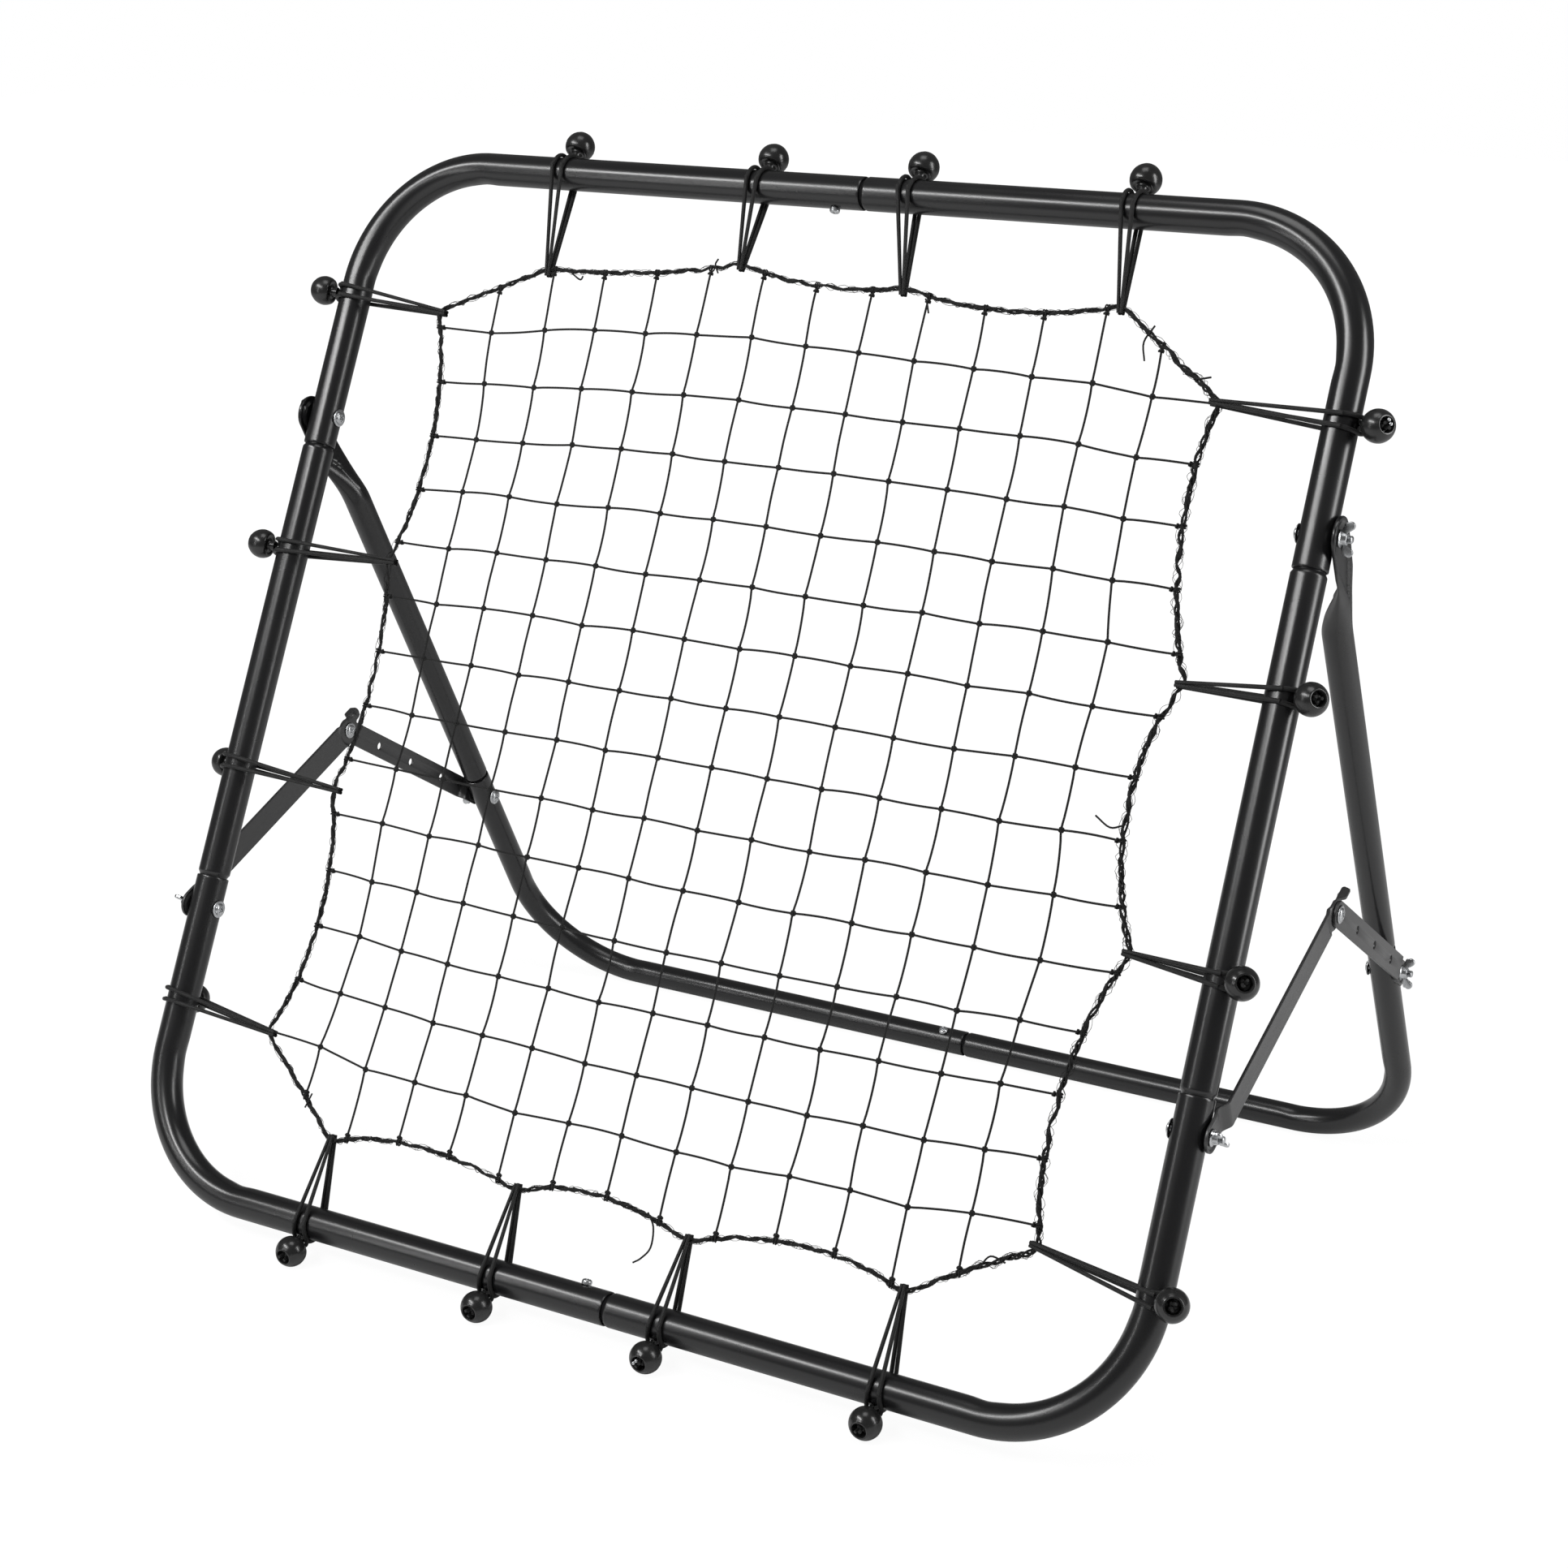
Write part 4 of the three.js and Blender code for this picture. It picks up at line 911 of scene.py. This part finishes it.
def makeHooks():
    inner, outer, low, high = (hookAt[key] for key in ("inner", "outer", "low", "high"))
    rows = {
        "top": ((1, 0), (1, 2, 3, 4), (-outer, -inner, inner, outer)),
        "right": ((0, -1), (1, 2, 3, 4), (high, low, -low, -high)),
        "bottom": ((-1, 0), (4, 3, 2, 1), (outer, inner, -inner, -outer)),
        "left": ((0, 1), (4, 3, 2, 1), (-high, -low, low, high)),
    }
    found = []
    for row, ((alongX, alongZ), numbers, places) in rows.items():
        out = Vector((-alongZ, 0, alongX))
        for number, at in zip(numbers, places):
            pullX, pullZ, sag, turn, slide, tip = hookTable[row][number - 1]
            reach = reaches[row if alongX else "side" if abs(at) > low else "waist"]
            spot = Vector((at, 0, 0)) if alongX else Vector((0, 0, at))
            found.append({"name": f"{row}_{number}", "point": spot + out * (half - reach), "out": out,
                          "along": Vector((alongX, 0, alongZ)), "reach": reach, "pull": Vector((pullX, 0, pullZ)),
                          "sag": sag, "turn": radians(turn), "slide": slide, "tip": radians(tip)})
    return found


hooks = makeHooks()


def hookPlace(hook):
    out, front = hook["out"], Vector((0, -1, 0))
    run = out.cross(front)
    place = Matrix((out, front, run)).transposed().to_4x4()
    place.translation = hook["point"] + out * hook["reach"]
    return place


ball = {"radius": 13.0, "offset": 31.1, "segments": 44}

# Outlines of the ball's neck and bore, as distance along its axis and radius
ballNeck = [(-13, 2.6), (-13, 4.0), (-12.7, 4.4), (-12.2, 4.5), (-8.4, 4.5), (-7.6, 4.75), (-7.0, 5.3),
            (-6.6, 6.2), (-6.7, 7.4), (-7.2, 8.1), (-7.5, 8.7), (-7.5, 9.9), (-7.25, 10.45), (-6.9, 10.95)]
ballBore = [(10.6, 7.75), (10.9, 7.3), (10.95, 6.8), (10.75, 6.25), (10.2, 5.95), (9.4, 5.8), (5.2, 5.6),
            (4.2, 5.2), (3.95, 4.2), (3.95, 0.3)]


def makeBall(hook, index):
    bm = newShape()
    radius = ball["radius"]
    sphere = [(radius * sin(a), radius * cos(a)) for a in (radians(-32 + 4.6 * k) for k in range(1, 19))
              if a < radians(55)]
    turnedSkin(bm, ballNeck + sphere + ballBore, ball["segments"])
    # The mould's parting line, a hair proud of the sphere
    for vert in bm.verts:
        if abs(vert.co.x - 0.2) < 0.6 and hypot(vert.co.y, vert.co.z) > 12.5:
            vert.co.yz = vert.co.yz * 1.006
    place = (hookPlace(hook) @ shifted(0, 0, hook["slide"]) @ turned(hook["turn"], "Z")
             @ shifted(ball["offset"], 0, 0) @ turned(hook["tip"], "Z") @ turned(radians(37 * index)))
    addPiece(f"ball_{hook['name']}", "moulded", bm, onFrame @ place, "plastic", "root", sharp=40)
    return place


def cordSkin(bm, path, radius, segments, closed=False):
    # Rings that keep their turn along the path
    count = len(path)
    normal = Vector((0.31, 0.2, 0.93))
    frames = []
    for index in range(count):
        before = path[index - 1] if closed or index else path[0]
        after = path[(index + 1) % count] if closed or index < count - 1 else path[-1]
        run = (after - before).normalized()
        normal = (normal - run * normal.dot(run)).normalized()
        frames.append((normal.copy(), run.cross(normal)))
    gone = [0.0]
    for first, second in zip(path, path[1:]):
        gone.append(gone[-1] + (second - first).length)

    def shape(index, turn):
        side, other = frames[index]
        wide = radius(index) if callable(radius) else radius
        return path[index] + side * (turn.x * wide) + other * (turn.y * wide), gone[index]

    sweep(bm, segments, count, shape, closed)
    return gone[-1]


def smoothLine(points, parts, closed=False):
    # A curve through every point
    line = []
    count = len(points)
    spans = count if closed else count - 1
    for k in range(spans):
        a = points[k - 1] if closed or k else points[0] * 2 - points[1]
        b, c = points[k], points[(k + 1) % count]
        d = points[(k + 2) % count] if closed or k + 2 < count else c * 2 - b
        for part in range(parts):
            t = part / parts
            line.append(0.5 * ((2 * b) + (c - a) * t + (2 * a - 5 * b + 4 * c - d) * t * t
                               + (3 * b - a - 3 * c + d) * t ** 3))
    if not closed:
        line.append(points[-1])
    return line


cord = {
    "radius": 1.8,
    "stretched": 1.5,  # radius at the border
    "clear": 0.25,  # between the cord and the tube
    "rear": 2.1,  # half the distance between its two runs, behind the tube
    "front": 4.6,  # in front of it
    "bight": 6.3,  # and where they enter the ball
    "wrap": 2.9,  # radius of the turn round the border
    "pinch": 1.4,
    "end": 1.25,  # radius of the two cord ends in the ball
}


def bungeePath(hook):
    lay = tube["front"] + cord["clear"] + cord["radius"]
    small, bight = cord["wrap"], cord["bight"]
    reach, turn = hook["reach"], hook["turn"]
    side = pi / 2 + asin((lay - small) / reach)
    line = []

    def arc(radius, start, end, steps, alongFrom, alongTo, drop=0):
        for k in range(steps + 1):
            angle = start + (end - start) * k / steps
            line.append(Vector((radius * cos(angle) - drop, radius * sin(angle),
                                alongFrom + (alongTo - alongFrom) * k / steps)))

    arc(lay, turn, -side, max(6, int((turn + side) / 0.2)), cord["rear"], cord["rear"])
    arc(small, -side, side - 2 * pi, 9, cord["pinch"], cord["pinch"], reach)
    arc(lay, side, turn, max(5, int((side - turn) / 0.2)), cord["front"], bight)
    # Away from the tube, into the ball
    for outer, angle, share in ((1.2, -8, 0.95), (2.665, -17, 0.75), (3.7, -24, 0.42)):
        radius, way = lay + outer, turn + radians(angle)
        line.append(Vector((radius * cos(way), radius * sin(way), bight * share)))
    radius, way = lay + 4.1, turn - radians(27)
    back = [Vector((p.x, p.y, -p.z)) for p in reversed(line)]
    whole = line + [Vector((radius * cos(way), radius * sin(way), 0))] + back
    out, along = hook["pull"].dot(hook["out"]), hook["pull"].dot(hook["along"])
    for point in whole:
        toBorder = clamped(-point.x / reach)
        point.z += hook["slide"] * min(1.0, 1 + point.x / reach) + along * toBorder
        point.x += out * toBorder
    return whole


def addSphere(bm, centre, radius, detail):
    bmesh.ops.create_icosphere(bm, subdivisions=detail, radius=radius, matrix=Matrix.Translation(centre))


crimped = ("right_1", "top_3", "bottom_3")  # balls whose metal crimps catch the light


def makeBungee(hook, index):
    chance = random.Random(index + 3)
    place = hookPlace(hook)
    bm = newShape()
    line = smoothLine(bungeePath(hook), 3)
    # Stretched thinner towards the border
    thins = [cord["radius"] - (cord["radius"] - cord["stretched"]) * smooth(-p.x / hook["reach"]) for p in line]
    length = cordSkin(bm, line, lambda k: thins[k], 12)
    back = place.inverted() @ makeBall(hook, index)
    # The knot that stops the cord shows as three lobes inside the ball's bore
    for k in range(3):
        knot = bmesh.new()
        addSphere(knot, back @ Vector((6.6, 2.1 * cos(2.1 * k + index), 2.1 * sin(2.1 * k + index))), 2.3, 2)
        merge(bm, knot)
    for away in (-1.7, 1.7):
        tip = Vector((chance.uniform(11.2, 13.8), away * 1.5, chance.uniform(-1.5, 1.5)))
        spots = (Vector((4.2, away * 0.6, 0)), Vector((8.4, away, 0.4)), tip)
        stub = newShape()
        cordSkin(stub, smoothLine([back @ spot for spot in spots], 4), cord["end"], 9)
        merge(bm, stub)
    if hook["name"] in crimped:
        crimp = bmesh.new()
        for k in (-1, 1):
            addSphere(crimp, back @ Vector((11.2, 1.7 * k, 3.0 - 0.5 * k)), 1.6, 3)
        addPiece(f"ball_{hook['name']}", "crimps", crimp, onFrame @ place, "zinc", "root", extra=True)
    addPiece(f"bungee_{hook['name']}", "cord", bm, onFrame @ place, "elastic", "root", sharp=60)
    return round(length, 1)


bungeeLengths = {hook["name"]: makeBungee(hook, index) for index, hook in enumerate(hooks)}
print("bungees and balls made", bungeeLengths)


# Border line, as it is pulled out by the hooks and sags between them
def borderLine():
    line = []
    chance = random.Random(8)
    for index, hook in enumerate(hooks):
        after = hooks[(index + 1) % len(hooks)]
        here, there = hook["point"] + hook["pull"], after["point"] + after["pull"]
        start = here + hook["along"] * 2
        end = there - after["along"] * 2
        line += [here - hook["along"] * 2, start]
        across = Vector((0, 1, 0)).cross((end - start).normalized())
        uneven = chance.uniform(-0.06, 0.06)
        for share in (k / 10 for k in range(1, 10)):
            bow = (4 * share * (1 - share)) ** 0.85 * (1 + uneven * 6 * (0.5 - share))
            line.append(start.lerp(end, share) + across * (hook["sag"] * bow + chance.uniform(-0.4, 0.4)))
    return line


border = borderLine()
bundle = {
    "strands": 4,
    "hairs": 3,
    "thick": 0.95,  # radius of a strand
    "hair": 0.22,
    "pitch": (19.0, 34.0),  # length of one turn
    "rightSide": 0.45,  # how much looser it is on the right
    "smoothing": 7,
}


def makeBorder():
    # A loose bundle of twines twisted unevenly, each a closed ring; fluffier on the right
    middle = []
    count = len(border)
    for index in range(count):
        first, second = border[index], border[(index + 1) % count]
        parts = max(1, int((second - first).length / 2.6))
        middle += [first.lerp(second, k / parts) for k in range(parts)]
    for _ in range(bundle["smoothing"]):
        middle = [(middle[k - 1] + middle[k] * 2 + middle[(k + 1) % len(middle)]) / 4 for k in range(len(middle))]
    chance = random.Random(5)
    total = sum((middle[k] - middle[k - 1]).length for k in range(len(middle)))
    whole = newShape()
    for strand in range(bundle["strands"] + bundle["hairs"]):
        hair = strand >= bundle["strands"]
        thick = bundle["hair"] if hair else bundle["thick"]
        turns = round(total / chance.uniform(*bundle["pitch"])) * (-1 if hair and strand % 2 else 1)
        sway = [chance.uniform(0, 2 * pi) for _ in range(6)]
        path = []
        for k, point in enumerate(middle):
            run = (middle[(k + 1) % len(middle)] - middle[k - 1]).normalized()
            side = run.cross(Vector((0, 1, 0)))
            share = k / len(middle)
            angle = 2 * pi * turns * share + strand * 2.1 + 0.8 * sin(2 * pi * 37 * share + sway[0])
            swell = 0.5 + 0.5 * sin(2 * pi * 29 * share + sway[1]) * sin(2 * pi * 61 * share + sway[2])
            loose = 1 + bundle["rightSide"] * smooth((point.x - 280) / 40) * smooth((point.z + 400) / 60)
            away = (1.9 + 1.5 * swell if hair else 0.75 + 0.75 * swell) * loose
            path.append(point + side * (away * cos(angle)) + Vector((0, away * sin(angle), 0)))
        bm = newShape()
        cordSkin(bm, path, thick, 4 if hair else 7, closed=True)
        merge(whole, bm)
    addPiece("net_border_cord", "twist", whole, onFrame, "border", "root", sharp=70)
    return total


borderLength = makeBorder()
print("border made", round(borderLength))

net = {
    "columns": 13,
    "rows": 14,
    "across": 52.0,  # width of a mesh
    "up": 49.0,  # height of a mesh
    "twine": 0.95,  # radius of the twine, then of the knots' and the lashings' turns
    "knot": 1.05,
    "lash": 0.7,
    "tail": 0.8,
    "evening": 60,  # rounds in which the knots settle between their neighbours
    "stray": 1.3,  # how far a knot strays from there
    "crossing": 0.8,  # how far the level and upright strands pass each other
    "edge": 1.2,  # between a strand's end and the middle of the border
}


def strandEnd(offset, axis, sign):
    other = 2 - axis
    best = None
    for index, point in enumerate(border):
        after = border[(index + 1) % len(border)]
        low, high = sorted((point[other], after[other]))
        if offset < low or offset > high or high - low < 0.001 or sign * (point[axis] + after[axis]) < 0:
            continue
        share = (offset - point[other]) / (after[other] - point[other])
        best = point[axis] + share * (after[axis] - point[axis])
    return best - sign * net["edge"]


# Twine ends left loose at the border, across and up the frame
looseEnds = [
    [(41, -384), (49, -394), (51, -410), (45, -420), (39, -425)],
    [(337, 339), (347, 336), (358, 338)],
    [(303, 375), (297, 361), (301, 346)],
    [(-244, 379), (-231, 372), (-228, 375)],
    [(-96, 388), (-100, 395), (-98, 400)],
    [(365, -13), (355, -16), (342, -9)],
    [(328, -359), (335, -349), (348, -351)],
    [(-305, -361), (-306, -366), (-308, -374)],
    [(102, 381), (105, 376), (108, 369)],
]


def netPlaces():
    places = {}
    columns, rows = net["columns"], net["rows"]
    for i in range(-1, columns + 1):
        for j in range(-1, rows + 1):
            spot = Vector(((i - (columns - 1) / 2) * net["across"], 0, (j - (rows - 1) / 2) * net["up"]))
            atSide, atEnd = i in (-1, columns), j in (-1, rows)
            if atSide and atEnd:
                continue
            if atSide:
                spot.x = strandEnd(spot.z, 0, 1 if spot.x > 0 else -1)
            elif atEnd:
                spot.z = strandEnd(spot.x, 2, 1 if spot.z > 0 else -1)
            places[i, j] = spot
    for _ in range(net["evening"]):
        for i in range(columns):
            for j in range(rows):
                around = [places[i - 1, j], places[i + 1, j], places[i, j - 1], places[i, j + 1]]
                places[i, j] = (around[0] + around[1] + around[2] + around[3]) / 4
    return places


def knotMesh(radius, thick, stations, lift):
    bm = newShape()
    turns = [2 * pi * k / stations for k in range(stations)]
    path = [Vector((radius * cos(turn), lift * sin(turn * 2), radius * 0.8 * sin(turn))) for turn in turns]
    cordSkin(bm, path, thick, 5, closed=True)
    return asMesh("knot", bm)


def makeNet():
    places = netPlaces()
    chance = random.Random(11)
    columns, rows = net["columns"], net["rows"]
    moved = {}
    for key, spot in places.items():
        inside = 0 <= key[0] < columns and 0 <= key[1] < rows
        stray = net["stray"] if inside else 0.0
        moved[key] = spot + Vector((chance.uniform(-stray, stray), chance.uniform(-0.5, 0.5) if inside else 0,
                                    chance.uniform(-stray, stray)))
    whole = newShape()

    def twine(path, parts, radius, segments):
        bm = newShape()
        cordSkin(bm, smoothLine(path, parts), radius, segments)
        merge(whole, bm)

    def strand(keys, lift):
        path = []
        knotLift = Vector((0, lift, 0))
        for first, second in zip(keys, keys[1:]):
            start, end = moved[first], moved[second]
            sway = Vector((chance.uniform(-0.9, 0.9), chance.uniform(-0.7, 0.7), chance.uniform(-0.9, 0.9)))
            path.append(start + knotLift)
            for share, part in ((0.18, 0.3), (0.4, 0.09), (0.6, 0.09), (0.82, 0.3)):
                path.append(start.lerp(end, share) + sway * (4 * share * (1 - share)) + knotLift * part)
        path.append(moved[keys[-1]])
        twine(path, 2, net["twine"], 7)

    for j in range(rows):
        strand([(i, j) for i in range(-1, columns + 1)], net["crossing"])
    for i in range(columns):
        strand([(i, j) for j in range(-1, rows + 1)], -net["crossing"])
    loop = knotMesh(1.75, net["knot"], 9, 0.8)
    lash = knotMesh(2.5, net["lash"], 11, 0.3)
    square = radians(90)
    for (i, j), spot in moved.items():
        if 0 <= i < columns and 0 <= j < rows:
            for tilt in (38, -52):
                around = turned(radians(tilt + chance.uniform(-14, 14)), "Y")
                stamp(whole, loop, Matrix.Translation(spot) @ around @ turned(radians(chance.uniform(10, 34))))
            continue
        # Lashed round the border cord, with a small knot on its inner side
        inward = Vector((1 if i < 0 else -1 if i == columns else 0, 0, 1 if j < 0 else -1 if j == rows else 0))
        atSide = inward.z == 0
        quarter = turned(square, "Z") if atSide else turned(square)
        wrap = Matrix.Identity(4) if atSide else turned(square, "Y")
        run = Vector((0, 0, 1)) if atSide else Vector((1, 0, 0))
        centre = spot - inward * net["edge"]
        for shift in (-0.9, 1.1):
            stamp(whole, lash, Matrix.Translation(centre + run * shift) @ wrap @ turned(square)
                  @ turned(radians(chance.uniform(-14, 14))))
        stamp(whole, loop, Matrix.Translation(spot + inward * 3.2) @ quarter)
    for tail in looseEnds:
        twine([Vector((x, -1.5 - 0.6 * k, z)) for k, (x, z) in enumerate(tail)], 5, net["tail"], 6)
    addPiece("net", "twine", whole, onFrame, "twine", "root", sharp=75)


makeNet()
print("net made")

# Solids that are still seen bare
for piece in bpy.data.objects:
    if piece.type == "MESH" and not piece.hide_render and not piece.data.materials:
        piece.data.materials.append(materials["powder"])
